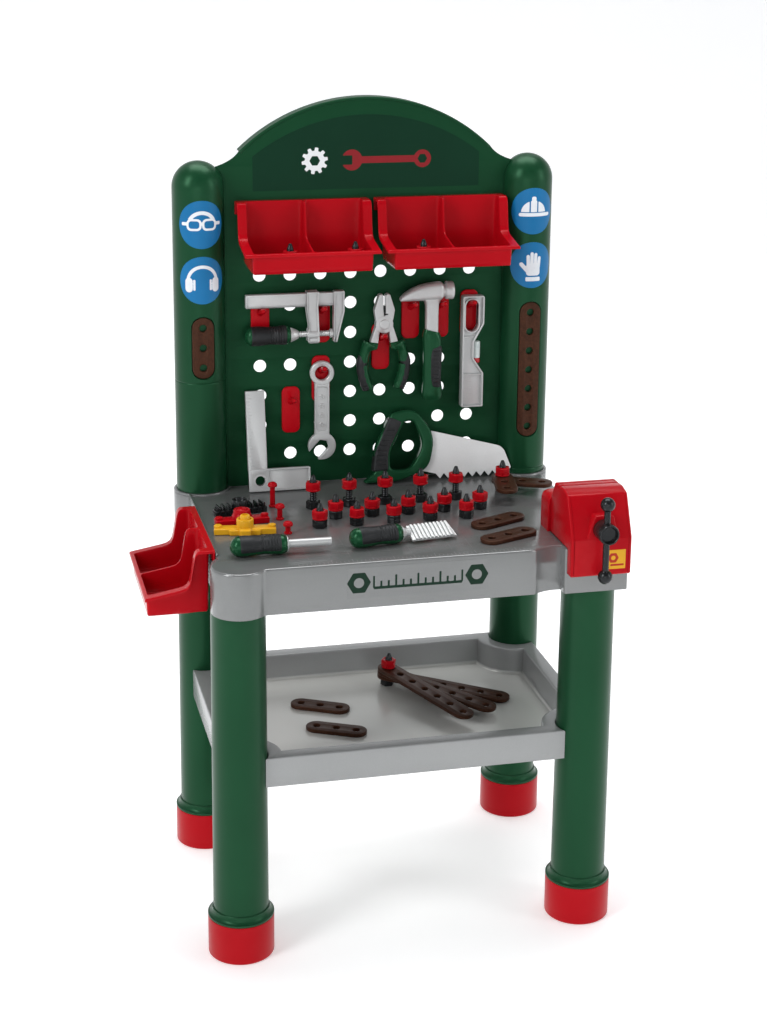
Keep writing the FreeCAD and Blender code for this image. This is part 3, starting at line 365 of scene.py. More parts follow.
# ---------------------------------------------------------------- finishes
class Recipe:
    """Short names for building one material's nodes."""

    def __init__(self, name, colour, roughness, metallic=0.0, coat=0.0, specular=0.34):
        self.material = bpy.data.materials.new(name)
        self.material.use_nodes = True
        self.tree = self.material.node_tree
        self.shader = self.tree.nodes["Principled BSDF"]
        self.shader.inputs["Base Color"].default_value = (*colour, 1)
        self.shader.inputs["Roughness"].default_value = roughness
        self.shader.inputs["Metallic"].default_value = metallic
        self.shader.inputs["Coat Weight"].default_value = coat
        self.shader.inputs["Coat Roughness"].default_value = 0.12
        self.shader.inputs["Specular IOR Level"].default_value = specular
        strongest = max(colour)
        tint = tuple(0.3 + 0.7 * c / strongest for c in colour)
        self.shader.inputs["Specular Tint"].default_value = (*tint, 1)
        self.place = self.tree.nodes.new("ShaderNodeTexCoord").outputs["Object"]

    def node(self, kind, inputs=(), **settings):
        made = self.tree.nodes.new(kind)
        for key, value in settings.items():
            setattr(made, key, value)
        for key, value in dict(inputs).items():
            if isinstance(value, bpy.types.NodeSocket):
                self.tree.links.new(value, made.inputs[key])
            else:
                made.inputs[key].default_value = value
        return made

    def stretched(self, x, y, z):
        """Object coordinates scaled apart, for a pattern that runs one way."""
        return self.node("ShaderNodeMapping", {0: self.place, 3: (x, y, z)}).outputs[0]

    def noise(self, scale, detail=2.0, place=None, roughness=0.5):
        made = self.node("ShaderNodeTexNoise", {"Vector": place or self.place, "Scale": scale,
                                                "Detail": detail, "Roughness": roughness})
        return made.outputs[0]

    def ranged(self, value, low, high, to_low, to_high):
        return self.node("ShaderNodeMapRange", {0: value, 1: low, 2: high, 3: to_low, 4: to_high}).outputs[0]

    def maths(self, operation, a, b=0.0):
        return self.node("ShaderNodeMath", {0: a, 1: b}, operation=operation).outputs[0]

    def mixed(self, factor, a, b):
        made = self.node("ShaderNodeMix", {0: factor}, data_type="RGBA")
        for socket, value in ((made.inputs[6], a), (made.inputs[7], b)):
            if isinstance(value, bpy.types.NodeSocket):
                self.tree.links.new(value, socket)
            else:
                socket.default_value = (*value, 1)
        return made.outputs[2]

    def scaled(self, value, factor):
        return self.maths("MULTIPLY", value, factor)

    def cloud(self, scale, detail=3.0):
        """Slow noise spread over the whole of 0 to 1."""
        return self.ranged(self.noise(scale, detail), 0.3, 0.7, 0.0, 1.0)

    def sparkle(self, scale, amount):
        """One random level from 0 to amount in each small cell, as metal flakes in plastic."""
        cells = self.node("ShaderNodeTexVoronoi", {"Vector": self.place, "Scale": scale})
        level = self.node("ShaderNodeSeparateColor", {0: cells.outputs["Color"]}).outputs[0]
        return self.ranged(level, 0.0, 1.0, 0.0, amount)

    def inked(self):
        """1 where the piece's mark attribute is above zero, with a hairline soft edge."""
        mark = self.node("ShaderNodeAttribute", {}, attribute_name="mark").outputs["Fac"]
        return self.ranged(mark, -0.12, 0.12, 0.0, 1.0)

    def join(self, value, socket):
        self.tree.links.new(value, self.shader.inputs[socket])

    def bump(self, height, strength, distance):
        made = self.node("ShaderNodeBump", {"Height": height, "Strength": strength, "Distance": distance})
        self.join(made.outputs[0], "Normal")


def shade(colour, factor):
    """The same colour made lighter or darker, held at 1."""
    return tuple(min(1.0, c * factor) for c in colour)


def moulded(name, colour, roughness=0.32, metallic=0.0, coat=0.0, grain=1700.0,
            grain_depth=0.00004, waviness=0.12, worn=0.35, flakes=0.0, specular=0.33):
    """Moulded plastic: slow tone changes of the pigment, a fine mould grain, a slight sink
    waviness, thin handling scratches, and edges rubbed a little lighter. Flakes adds the
    sparkle of metallic pigment."""
    r = Recipe(name, colour, roughness, metallic, coat, specular)
    colour_now = r.mixed(r.cloud(7.0), shade(colour, 0.90), shade(colour, 1.09))
    scuffs = r.ranged(r.noise(2.4, 4.0, r.stretched(24.0, 420.0, 90.0), 0.7), 0.64, 0.76, 0.0, 1.0)
    colour_now = r.mixed(r.scaled(scuffs, 0.06), colour_now, shade(colour, 1.8))
    edges = r.ranged(r.node("ShaderNodeNewGeometry").outputs["Pointiness"], 0.53, 0.60, 0.0, worn)
    patchy = r.maths("MULTIPLY", edges, r.noise(60.0, 2.0))
    rubbed = shade(tuple(c + 0.03 for c in colour), 1.45)
    colour_now = r.mixed(patchy, colour_now, rubbed)
    if flakes:
        colour_now = r.mixed(r.sparkle(1500.0, flakes), colour_now, shade(colour, 1.35))
    r.join(colour_now, "Base Color")
    haze = r.maths("ADD", r.scaled(r.noise(9.0, 2.0), 0.06), r.scaled(scuffs, 0.02))
    r.join(r.maths("ADD", haze, roughness - 0.03), "Roughness")
    slow = r.scaled(r.noise(12.0, 1.0), waviness * 0.00008 / grain_depth)
    r.bump(r.maths("ADD", r.noise(grain, 2.0), slow), 0.32, grain_depth)
    return r.material


def soft_grip(name, colour):
    """Soft-touch rubbery plastic: a pebbled grain of small cells, matt, with dust in it."""
    r = Recipe(name, colour, 0.55, specular=0.4)
    dust = r.ranged(r.noise(38.0, 4.0), 0.45, 0.75, 0.0, 0.25)
    dusty = shade(tuple(c + 0.02 for c in colour), 1.7)
    r.join(r.mixed(dust, shade(colour, 0.9), dusty), "Base Color")
    r.join(r.ranged(r.noise(120.0, 2.0), 0.3, 0.7, 0.46, 0.66), "Roughness")
    pebbles = r.node("ShaderNodeTexVoronoi", {"Vector": r.place, "Scale": 900.0})
    r.bump(pebbles.outputs["Distance"], 0.45, 0.00012)
    return r.material


def dark_wood_plastic(name, colour):
    """Dark brown plastic with a faint pressed wood grain: noise stretched along the strip."""
    r = Recipe(name, colour, 0.42)
    fibres = r.noise(3.0, 5.0, r.stretched(90.0, 260.0, 90.0), 0.6)
    cloud = r.noise(14.0, 2.0)
    first = r.mixed(r.ranged(fibres, 0.35, 0.65, 0.0, 1.0), shade(colour, 0.6), shade(colour, 1.6))
    r.join(r.mixed(r.ranged(cloud, 0.35, 0.65, 0.0, 0.4), first, shade(colour, 1.2)), "Base Color")
    r.join(r.ranged(fibres, 0.3, 0.7, 0.34, 0.52), "Roughness")
    r.bump(r.maths("ADD", fibres, r.scaled(r.noise(1500.0), 0.3)), 0.5, 0.00012)
    return r.material


def printed(name, ground, ink, roughness=0.35, coat=0.25, specular=0.34):
    """Printed film: the ink shows where the piece's mark attribute is above zero, with a
    hairline soft edge; the film itself has a faint orange-peel surface."""
    r = Recipe(name, ground, roughness, coat=coat, specular=specular)
    worn = r.ranged(r.noise(90.0, 4.0), 0.25, 0.75, 0.93, 1.0)
    paper = r.mixed(r.cloud(11.0, 2.0), shade(ground, 0.93), shade(ground, 1.07))
    print_tone = r.mixed(r.noise(300.0, 2.0), shade(ink, 0.94), shade(ink, 1.04))
    r.join(r.mixed(r.maths("MULTIPLY", r.inked(), worn), paper, print_tone), "Base Color")
    r.join(r.ranged(r.noise(180.0, 2.0), 0.3, 0.7, roughness - 0.05, roughness + 0.09), "Roughness")
    r.bump(r.noise(420.0, 2.0), 0.18, 0.00005)
    return r.material


def bench_silver(name, colour, ink=None):
    """Silver bench plastic: metallic pigment with sparkle, long soft flow marks, scuffs, and
    a measuring scale pressed into the front of the work surface. An ink shows where the
    piece's mark attribute is above zero."""
    r = Recipe(name, colour, 0.34, metallic=0.5)
    flow = r.noise(2.2, 3.0, r.stretched(4.0, 60.0, 30.0))
    now = r.mixed(r.cloud(5.0), shade(colour, 0.93), shade(colour, 1.06))
    now = r.mixed(r.ranged(flow, 0.4, 0.7, 0.0, 0.25), now, shade(colour, 1.12))
    now = r.mixed(r.sparkle(1400.0, 0.16), now, shade(colour, 1.3))
    streaks = r.noise(2.2, 5.0, r.stretched(60.0, 260.0, 60.0), 0.75)
    scuffs = r.ranged(streaks, 0.66, 0.76, 0.0, 1.0)
    now = r.mixed(r.scaled(scuffs, 0.06), now, shade(colour, 0.8))
    x, y, z = r.node("ShaderNodeSeparateXYZ", {0: r.place}).outputs
    middle_x, middle_y = MIDDLE[0] * MM, MIDDLE[1] * MM

    def between(value, low, high):
        above = r.maths("GREATER_THAN", value, low)
        return r.maths("MULTIPLY", above, r.maths("LESS_THAN", value, high))

    def lines(value, pitch, share):
        return r.maths("LESS_THAN", r.maths("FRACT", r.maths("DIVIDE", value, pitch)), share)

    rule = middle_y - 0.1765
    short_ticks = r.maths("MULTIPLY", lines(x, 0.005, 0.17), between(y, rule, rule + 0.005))
    long_ticks = r.maths("MULTIPLY", lines(x, 0.025, 0.034), between(y, rule, rule + 0.010))
    scale = r.maths("MAXIMUM", short_ticks, long_ticks)
    scale = r.maths("MAXIMUM", scale, between(y, rule - 0.0005, rule + 0.0003))
    grid = r.maths("MAXIMUM", lines(x, 0.025, 0.028), lines(y, 0.025, 0.028))
    grid = r.maths("MULTIPLY", grid, between(y, middle_y - 0.160, middle_y - 0.085))
    scale = r.maths("MAXIMUM", scale, r.scaled(grid, 0.45))
    scale = r.maths("MULTIPLY", scale, between(x, middle_x - 0.150, middle_x + 0.130))
    scale = r.maths("MULTIPLY", scale, r.maths("GREATER_THAN", z, (BENCH_TOP - 0.6) * MM))
    now = r.mixed(r.scaled(scale, 0.8), now, shade(colour, 1.7))
    if ink:
        now = r.mixed(r.inked(), now, ink)
    r.join(now, "Base Color")
    rough = r.maths("ADD", r.scaled(r.noise(8.0, 2.0), 0.05), 0.19)
    r.join(r.maths("ADD", rough, r.scaled(scuffs, 0.02)), "Roughness")
    height = r.maths("ADD", r.noise(1900.0, 2.0), r.scaled(r.noise(9.0, 1.0), 0.5))
    r.bump(r.maths("SUBTRACT", height, r.scaled(scale, 3.0)), 0.3, 0.00005)
    return r.material


def shelf_finish_with_painted_light(name, colour, painted_light_floor_colour):
    """Silver shelf plastic with painted light: inside the tray's edge, below its walls, the tray
    floor is painted a paler colour as painted light, with a soft cloudy change in how strongly."""
    r = Recipe(name, colour, 0.32, metallic=0.22)
    x, y, z = r.node("ShaderNodeSeparateXYZ", {0: r.place}).outputs
    reach_x = r.maths("ABSOLUTE", r.maths("SUBTRACT", x, MIDDLE[0] * MM))
    reach_y = r.maths("ABSOLUTE", r.maths("SUBTRACT", y, MIDDLE[1] * MM))
    # painted light: mask of the tray floor that is painted paler, as if lit
    low = r.ranged(z, (SHELF_FLOOR + 0.6) * MM, (SHELF_FLOOR + 3.5) * MM, 1.0, 0.0)
    within = r.maths("MULTIPLY", r.maths("LESS_THAN", reach_x, 0.2155),
                     r.maths("LESS_THAN", reach_y, 0.1452))
    painted_light_mask = r.maths("MULTIPLY", low, within)
    painted_light_cloud = r.ranged(r.noise(6.0, 3.0), 0.3, 0.7, 0.82, 1.0)
    wall = r.mixed(r.cloud(5.0), shade(colour, 0.94), shade(colour, 1.08))
    wall = r.mixed(r.sparkle(1400.0, 0.15), wall, shade(colour, 1.3))
    r.join(r.mixed(r.maths("MULTIPLY", painted_light_mask, painted_light_cloud), wall, painted_light_floor_colour), "Base Color")
    r.join(r.ranged(r.noise(8.0, 2.0), 0.3, 0.7, 0.21, 0.25), "Roughness")
    height = r.maths("ADD", r.noise(1900.0, 2.0), r.scaled(r.noise(9.0, 1.0), 0.5))
    r.bump(height, 0.25, 0.00005)
    return r.material


# Colours are linear red, green and blue.
GREEN = (0.0052, 0.039, 0.0155)
SIGN_GREEN = (0.0035, 0.022, 0.011)
RED = (0.40, 0.0024, 0.0075)
SIGN_RED = (0.25, 0.010, 0.020)
SILVER = (0.21, 0.215, 0.215)
TOOL_SILVER = (0.47, 0.48, 0.48)
SAW_SILVER = (0.74, 0.75, 0.75)
# painted light: paler colour painted on the shelf's tray floor
SHELF_PAINTED_LIGHT_FLOOR = (0.78, 0.785, 0.75)
BLACK = (0.008, 0.0085, 0.009)
BROWN = (0.032, 0.012, 0.006)
YELLOW = (0.72, 0.37, 0.015)
BLUE = (0.006, 0.145, 0.35)
WHITE = (0.80, 0.82, 0.84)

green = moulded("green plastic", GREEN, 0.31, grain=1300.0, grain_depth=0.00006)
board_green = moulded("board green plastic", GREEN, 0.42, grain=900.0, grain_depth=0.00009,
                      worn=0.5, specular=0.2)
handle_green = moulded("handle green plastic", shade(GREEN, 1.15), 0.22)
red = moulded("red plastic", RED, 0.22, grain=2100.0, grain_depth=0.00003, worn=0.25,
              specular=0.24)
hook_red = moulded("hook red plastic", RED, 0.24, worn=0.3)
cap_red = moulded("foot cap red", RED, 0.31, grain=1500.0)
silver = bench_silver("bench silver", SILVER)
# painted light: the shelf gets the bench silver painted 1.45 times lighter, to look lit though it stands in
# shade under the bench
painted_lighter_shelf_silver = shelf_finish_with_painted_light("shelf silver painted lighter", shade(SILVER, 1.45), SHELF_PAINTED_LIGHT_FLOOR)
tool_silver = moulded("tool silver", TOOL_SILVER, 0.31, metallic=0.35, flakes=0.2, worn=0.3,
                      waviness=0.04)
saw_silver = moulded("saw silver", SAW_SILVER, 0.36, metallic=0.05, flakes=0.12, worn=0.3)
black = moulded("black plastic", BLACK, 0.22, worn=0.6)
grip = soft_grip("black soft grip", BLACK)
brown = dark_wood_plastic("brown strip plastic", BROWN)
yellow = moulded("yellow plastic", YELLOW, 0.31, coat=0.2, worn=0.2)


# ---------------------------------------------------------------- legs and feet
def make_legs():
    """Tubes and rings of revolution: each profile is (radius, height)."""
    corners = [(sx * LEG_X, sy * LEG_Y) for sy in (-1, 1) for sx in (-1, 1)]
    names = ("leg_front_left", "leg_front_right", "leg_rear_left", "leg_rear_right")
    tube = [(31.0, 5), (33.6, 5), (34.2, 6), (34.0, 60), (33.4, 255), (32.8, BENCH_LOW - 0.8),
            (32.0, BENCH_LOW), (28.0, BENCH_LOW + 0.2), (28.0, 501.5), (25.0, 501.5), (25.0, 446),
            (29.8, 443), (31.0, 5)]
    arc = np.radians(np.linspace(0, 90, 7))
    base = list(zip(FOOT_RADIUS - 2.4 * (1 - np.sin(arc)), 2.4 * (1 - np.cos(arc))))
    cap = [(0, 0)] + base + [(FOOT_RADIUS, FOOT_TOP - 1.4), (40.4, FOOT_TOP - 0.4), (39.6, FOOT_TOP),
                             (34.7, FOOT_TOP), (34.7, 5.0), (33.5, 4.0), (0, 4.0)]
    flare = [(FOOT_RADIUS - 5.2 * math.sin(a), FOOT_TOP + 3 + 8.6 * (1 - math.cos(a)))
             for a in np.radians(np.linspace(0, 86, 9))]
    ring = [(34.6, FOOT_TOP + 0.1), (40.0, FOOT_TOP + 0.1), (FOOT_RADIUS, FOOT_TOP + 0.8),
            (FOOT_RADIUS, FOOT_TOP + 3)] + flare + [(34.6, FOOT_TOP + 11.9), (34.6, FOOT_TOP + 0.1)]
    for name, (x, y) in zip(names, corners):
        piece(name + "_tube", [turned(tube, 96, "z", (x, y, 0))], "bench", green, [name])
    for name, profile, finish, slot, node in (("foot_cups", cap, cap_red, "red", "foot_caps"),
                                              ("foot_collars", ring, green, "green", "foot_rings")):
        solids = [turned(profile, 96, "z", (x, y, 0)) for x, y in corners]
        piece(name, solids, "bench", finish, [node])


# ---------------------------------------------------------------- bench and shelf shells
def arc_points(x, y, radius, first, last, step=4.0):
    """Points of an arc from one angle to another, in degrees."""
    count = max(3, int(abs(last - first) / step) + 1)
    angles = np.radians(np.linspace(first, last, count))
    return np.stack([x + radius * np.cos(angles), y + radius * np.sin(angles)], 1)


def bench_outline():
    """Plan of the bench: straight aprons, a bulge round the front left leg with hollow
    blends, a hollow in front of the vise block, the block, and two rear post collars."""
    front, side, back = -181.5, BENCH_SIDE, 166.0
    blend, bulge = 10.0, 34.0
    bulge_x, bulge_y = -LEG_X, -160.0
    reach = bulge + blend
    dx = math.sqrt(reach ** 2 - (front - blend - bulge_y) ** 2)
    dy = math.sqrt(reach ** 2 - (-side - blend - bulge_x) ** 2)
    left_angle = math.degrees(math.atan2(dy, -side - blend - bulge_x))
    front_angle = math.degrees(math.atan2(front - blend - bulge_y, dx)) + 360
    block_left, block_right, block_front, block_back = 173.5, 254.5, -187, -109
    hollow_x, hollow_y, hollow = 168.5, -222.0, 51.0
    cut = math.degrees(math.acos((front - hollow_y) / hollow))
    meet = math.degrees(math.asin((block_left - hollow_x) / hollow))
    collar = 37.0
    low_angle = math.degrees(math.acos((side - LEG_X) / collar))
    high_angle = math.degrees(math.asin((back - POST_Y) / collar))
    block = outline([(block_left, -150, 0), (block_left, block_front, 3), (block_right, block_front, 3),
                     (block_right, block_back, 3), (side, block_back, 0)])
    start = int(np.argmin(np.abs(block[:, 0] - block_left) + np.abs(block[:, 1] + 150)))
    block = np.roll(block, -start, 0)[1:]
    parts = [
        arc_points(-side - blend, bulge_y + dy, blend, 0, left_angle - 180, 8),
        arc_points(bulge_x, bulge_y, bulge, left_angle, front_angle)[1:-1],
        arc_points(bulge_x + dx, front - blend, blend, front_angle - 180, 90, 8),
        arc_points(hollow_x, hollow_y, hollow, 90 + cut, 90 - meet),
        block,
        arc_points(LEG_X, POST_Y, collar, -low_angle, 180 - high_angle),
        arc_points(-LEG_X, POST_Y, collar, high_angle, 180 + low_angle),
    ]
    return thinned(np.concatenate(parts), 14.0)


def levels(loop, steps):
    """One 3-D loop per (inset, height) step."""
    return [np.column_stack([inset(loop, d), np.full(len(loop), z)]) for d, z in steps]


def quarter(radius, height, count=5):
    """(inset, height) steps of a rounded top edge that ends at the given height."""
    angles = np.linspace(0, math.pi / 2, count)
    return [(radius * (1 - math.cos(a)), height - radius * (1 - math.sin(a))) for a in angles]


def rail(top, half):
    """Hanging rail: an L section, carried along x, for a wall that faces -y at y = 0."""
    section = outline([(0, top - 22, 0), (0, top - 19, 0), (-3.2, top - 19, 0), (-3.2, top - 4, 0.5),
                       (-5.6, top - 4, 0.8), (-5.6, top - 22, 0.8)])
    return side_plate(section, -half, half, 0.5)


def make_bench():
    """The outline carried up with a rounded top edge, sockets under it for the legs, collars
    for the posts, and a strip and a rail along the left side for the side bin."""
    steps = [(3.0, BENCH_TOP - 3), (3.0, BENCH_LOW), (0.8, BENCH_LOW), (0.25, BENCH_LOW + 0.25),
             (0, BENCH_LOW + 0.8)] + quarter(2.8, BENCH_TOP)
    solids = [skin(levels(bench_outline(), steps))]
    socket = [(28.3, 449.5), (31.3, 449.5), (31.3, 503.5), (28.3, 503.5), (28.3, 449.5)]
    for sx in (-1, 1):
        for sy in (-1, 1):
            solids.append(turned(socket, 64, "z", (sx * LEG_X, sy * LEG_Y, 0)))
    collar = [(33.2, 505.5), (33.2, 507.8), (33.6, 508.1), (35.6, 508.1), (36.6, 507.6),
              (37.0, 506.6), (37.0, 505.5), (33.2, 505.5)]
    for side in (-1, 1):
        solids.append(turned(collar, 96, "z", (side * LEG_X, POST_Y, 0)))
    strip = outline(box_corners(-BENCH_SIDE + 0.1, -BENCH_SIDE + 2.7, -124.5, 112.0, 1.2))
    solids.append(plate(strip, BENCH_TOP - 0.5, BENCH_TOP + 3.0, 0.9))
    solids.append(moved(rail(SIDE_BIN_TOP, 66.8), (-BENCH_SIDE, SIDE_BIN_Y, 0), turn_z=-90))
    piece("bench_top", solids, "bench", silver, ["tabletop"])


def make_shelf():
    """Outer loop: a rectangle bitten by the legs. Inner loop: the tray, swelling round them.
    Both loops have the same number of points, so levels between them join by quads."""
    def corner_loop(half_x, half_y, radius):
        loop = []
        for sx, sy in ((-1, -1), (1, -1), (1, 1), (-1, 1)):
            across = math.sqrt(radius ** 2 - (half_y - LEG_Y) ** 2)
            along = math.sqrt(radius ** 2 - (half_x - LEG_X) ** 2)
            a = math.degrees(math.atan2(sy * (half_y - LEG_Y), -sx * across))
            b = math.degrees(math.atan2(-sy * along, sx * (half_x - LEG_X)))
            if sx * sy > 0:
                a, b = b, a
            turn = (b - a + 180) % 360 - 180
            angles = np.radians(a + turn * np.linspace(0, 1, 19))
            loop.append(np.stack([sx * LEG_X + radius * np.cos(angles),
                                  sy * LEG_Y + radius * np.sin(angles)], 1))
        joined = []
        for k in range(4):
            joined.append(loop[k])
            start, end = loop[k][-1], loop[(k + 1) % 4][0]
            joined.append(start + (end - start) * np.linspace(0, 1, 14)[1:-1, None])
        return np.concatenate(joined)

    outer = corner_loop(236.5, 166.2, 33.9)
    inner = corner_loop(216.5, 146.2, 52.0)
    rows = levels(inner, [(-3.0, SHELF_LOW), (-3.0, SHELF_TOP - 3)])
    rows += levels(outer, [(3.0, SHELF_TOP - 3), (3.0, SHELF_LOW), (0.8, SHELF_LOW),
                           (0.25, SHELF_LOW + 0.25), (0, SHELF_LOW + 0.8)])
    rows += levels(outer, quarter(2.0, SHELF_TOP))
    arc = np.linspace(0, math.pi / 2, 5)
    rim, foot = 2.2, 3.4
    rows += levels(inner, [(-rim + rim * math.sin(a), SHELF_TOP - rim * (1 - math.cos(a))) for a in arc])
    rows += levels(inner, [(1.2, SHELF_FLOOR + foot + 0.2)])
    rows += levels(inner, [(1.4 + foot * (1 - math.cos(a)), SHELF_FLOOR + foot * (1 - math.sin(a)))
                           for a in arc])
    piece("shelf", [skin(rows)], "bench", painted_lighter_shelf_silver, ["shelf_tray"])


# ---------------------------------------------------------------- posts and peg board
def dense_lines(low, high, coarse, spots):
    """Sorted grid lines from low to high: every coarse, and finer round each spot, given
    as (place, reach, spacing)."""
    lines = [np.linspace(low, high, int((high - low) / coarse) + 1)]
    for place, reach, spacing in spots:
        lines.append(np.arange(place - reach, place + reach + 1e-6, spacing))
    joined = np.unique(np.round(np.concatenate(lines), 3))
    joined = joined[(joined >= low) & (joined <= high)]
    keep = np.concatenate([[True], np.diff(joined) > 0.12])
    keep[-1] = True
    return joined[keep]


def post_solid(side, pocket_top, holes, seam):
    """A round post with a dome: one radius at angle t from the front. Where the distance to
    the pocket's middle line is under its half width, the front is pressed back to a flat
    floor. A seam is a hairline groove round the post."""
    half = STRIP_HALF + 1
    shoulder = 904.5
    pocket_low = pocket_top - (holes - 1) * STRIP_PITCH - 2 * half
    spots = [(-half, 1.6, 0.4), (half, 1.6, 0.4)]
    across = dense_lines(-half - 3, half + 3, 1.6, spots)
    rest = np.linspace(half + 3, 2 * math.pi * POST_RADIUS - half - 3, 60)[1:-1]
    t = np.concatenate([across, rest]) / POST_RADIUS
    z_spots = [(pocket_top, half + 1, 0.7), (pocket_low, half + 1, 0.7), (seam, 1.6, 0.4)]
    z_lines = dense_lines(508.2, shoulder, 6.0, z_spots)
    dome = np.radians(np.linspace(0, 90, 20)[1:])
    z = np.concatenate([z_lines, shoulder + POST_RADIUS * np.sin(dome)])
    radius = np.concatenate([np.full(len(z_lines), POST_RADIUS), POST_RADIUS * np.cos(dome)])
    radius[-1] = 0.02
    radius = radius - 0.55 * np.exp(-((z - seam) / 0.7) ** 2)
    x = radius[:, None] * np.sin(t)
    y = -radius[:, None] * np.cos(t)
    zz = np.broadcast_to(z[:, None], x.shape)
    middle = np.clip(zz, pocket_low + half, pocket_top - half)
    distance = np.hypot(x, zz - middle) - half
    pressed = np.interp(distance, [-1.3, -0.9, -0.15, 0.25, 0.7], [1, 0.965, 0.07, 0.012, 0])
    pressed = np.where(np.cos(t) > 0.2, pressed, 0)
    y = y + pressed * (-POST_RADIUS + POCKET_DEPTH - y)
    points = np.stack([x + side * LEG_X, y + POST_Y, zz], -1)
    return skin(points)


def make_posts():
    """Both posts, each with its pocket and its seam."""
    for name, side, top, holes, seam in (("left", -1, LEFT_POCKET, 3, 655.0),
                                         ("right", 1, RIGHT_POCKET, 7, 515.0)):
        solid = post_solid(side, top, holes, seam)
        piece(name + "_post", [solid], "bench", green, ["post_" + name], crease=50)


def board_outline():
    """Straight sides, hollow shoulders (a quadratic curve from a by b to c) and a round arch."""
    shoulder_z = ARCH_CENTRE + ARCH_RADIUS * math.cos(math.radians(ARCH_END))
    arch = arc_points(0, ARCH_CENTRE, ARCH_RADIUS, 90 - ARCH_END, 90 + ARCH_END, 1.2)
    t = np.linspace(0, 1, 12)[1:, None]
    a, b, c = np.array([ARCH_HALF, shoulder_z]), np.array([173, 936.0]), np.array([197, 929.0])
    right = ((1 - t) ** 2 * a + 2 * t * (1 - t) * b + t ** 2 * c)[::-1]
    left = (right * np.array([-1, 1]))[::-1]
    low = np.array([[-190, 506.3], [190, 506.3], [190, 890.0], [197, 905.0]])
    side = np.array([[-197, 905.0], [-190, 890.0]])
    return thinned(np.concatenate([low, right, arch, left, side]), 12.0)


def make_board():
    """A plate with 8 by 7 holes, a band and a bead round the arch, and rails for the bins."""
    holes = [circle(column_x(c), row_z(r), PEG_HOLE, 36) for c in range(8) for r in range(7)]
    solids = [front_plate(board_outline(), BOARD_Y, BOARD_Y + BOARD_THICK, 0.7, holes)]
    angles = np.radians(np.linspace(90 - ARCH_END, 90 + ARCH_END, 90))[:, None]
    depth = np.linspace(BOARD_Y + 2.0, BOARD_Y + 20.0, 8)[None]

    def arch_band(radius):
        return np.stack([radius * np.cos(angles) + 0 * depth, depth + 0 * angles,
                         ARCH_CENTRE + radius * np.sin(angles) + 0 * depth], -1)

    solids.append(two_sided(arch_band(ARCH_RADIUS - 0.1), arch_band(ARCH_RADIUS - 3.1)))
    bead_radius = ARCH_RADIUS - 2.3
    bead = np.stack([bead_radius * np.cos(angles[:, 0]), np.full(90, BOARD_Y + 1.3),
                     ARCH_CENTRE + bead_radius * np.sin(angles[:, 0])], 1)
    solids.append(swept(bead, 2.3, 14))
    for bin_x in (LEFT_BIN_X, RIGHT_BIN_X):
        solids.append(moved(rail(BIN_TOP, 66.8), (bin_x, BOARD_Y, 0)))
    piece("peg_board", solids, "bench", board_green, ["back_board"])


# ---------------------------------------------------------------- printed graphics
def capsule(u, v, start, end, radius):
    """Radius less the distance to a line from start to end: above zero inside."""
    d = np.array(end, float) - np.array(start, float)
    t = np.clip(((u - start[0]) * d[0] + (v - start[1]) * d[1]) / max(d @ d, 1e-9), 0, 1)
    return radius - np.hypot(u - start[0] - t * d[0], v - start[1] - t * d[1])


def soft_box(u, v, cu, cv, half_u, half_v, radius):
    """Signed distance to a rounded box: above zero inside."""
    du = np.abs(u - cu) - half_u + radius
    dv = np.abs(v - cv) - half_v + radius
    return radius - np.hypot(np.maximum(du, 0), np.maximum(dv, 0)) - np.minimum(np.maximum(du, dv), 0)


def six_sided(u, v, cu, cv, flat):
    """Flat less the distance to a hexagon's sides."""
    angles = np.radians([30, 90, 150])
    reach = [np.abs((u - cu) * math.cos(a) + (v - cv) * math.sin(a)) for a in angles]
    return flat - np.maximum.reduce(reach)


def goggles_mark(u, v):
    """Two rounded lenses in their frames, a strap and a brow line."""
    frames = np.maximum(soft_box(u, v, -8.5, 0, 8.2, 6.5, 5), soft_box(u, v, 8.5, 0, 8.2, 6.5, 5))
    lenses = np.maximum(soft_box(u, v, -8.5, 0, 5.8, 4.1, 3), soft_box(u, v, 8.5, 0, 5.8, 4.1, 3))
    strap = soft_box(u, v, 0, 1, 22.5, 1.8, 1)
    brow = np.minimum(2.0 - np.abs(np.hypot(u, v + 2) - 15), v - 6)
    return np.maximum(np.minimum(np.maximum(frames, strap), -lenses), brow)


def ear_cups_mark(u, v):
    """Half a ring as the band, with a cup and a pad at each end."""
    band = np.minimum(1.8 - np.abs(np.hypot(u, v + 1) - 16), v + 1)
    cups = np.maximum(soft_box(u, v, -15, -5, 4.2, 8, 4), soft_box(u, v, 15, -5, 4.2, 8, 4))
    pads = np.maximum(soft_box(u, v, -9, -5, 1.2, 6, 1), soft_box(u, v, 9, -5, 1.2, 6, 1))
    return np.maximum(np.maximum(band, cups), pads)


def helmet_mark(u, v):
    """A dome with two gaps beside its ridge, and a brim."""
    dome = np.minimum(14.5 - np.hypot(u, (v + 2) * 1.05), v + 1)
    ridge = soft_box(u, v, 0, 9, 2.6, 7.5, 2)
    gap = 0.8 - np.abs(np.abs(u) - 4.4)
    brim = soft_box(u, v, 2, -4, 19, 2.0, 2)
    return np.maximum(np.maximum(np.minimum(dome, -gap), np.minimum(ridge, v + 1)), brim)


def glove_mark(u, v):
    """A palm, four fingers, a thumb and a cuff."""
    palm = soft_box(u, v, 1, -5, 8, 7, 3.5)
    tips = ((-4.6, 10), (-0.6, 13), (3.4, 12), (7.4, 8))
    fingers = [capsule(u, v, (x, -2), (x * 1.1, top), 1.9) for x, top in tips]
    thumb = capsule(u, v, (-5, -7), (-12.5, 1), 2.3)
    cuff = soft_box(u, v, 1, -16, 8.5, 2.4, 1)
    return np.maximum.reduce([palm, thumb, cuff] + fingers)


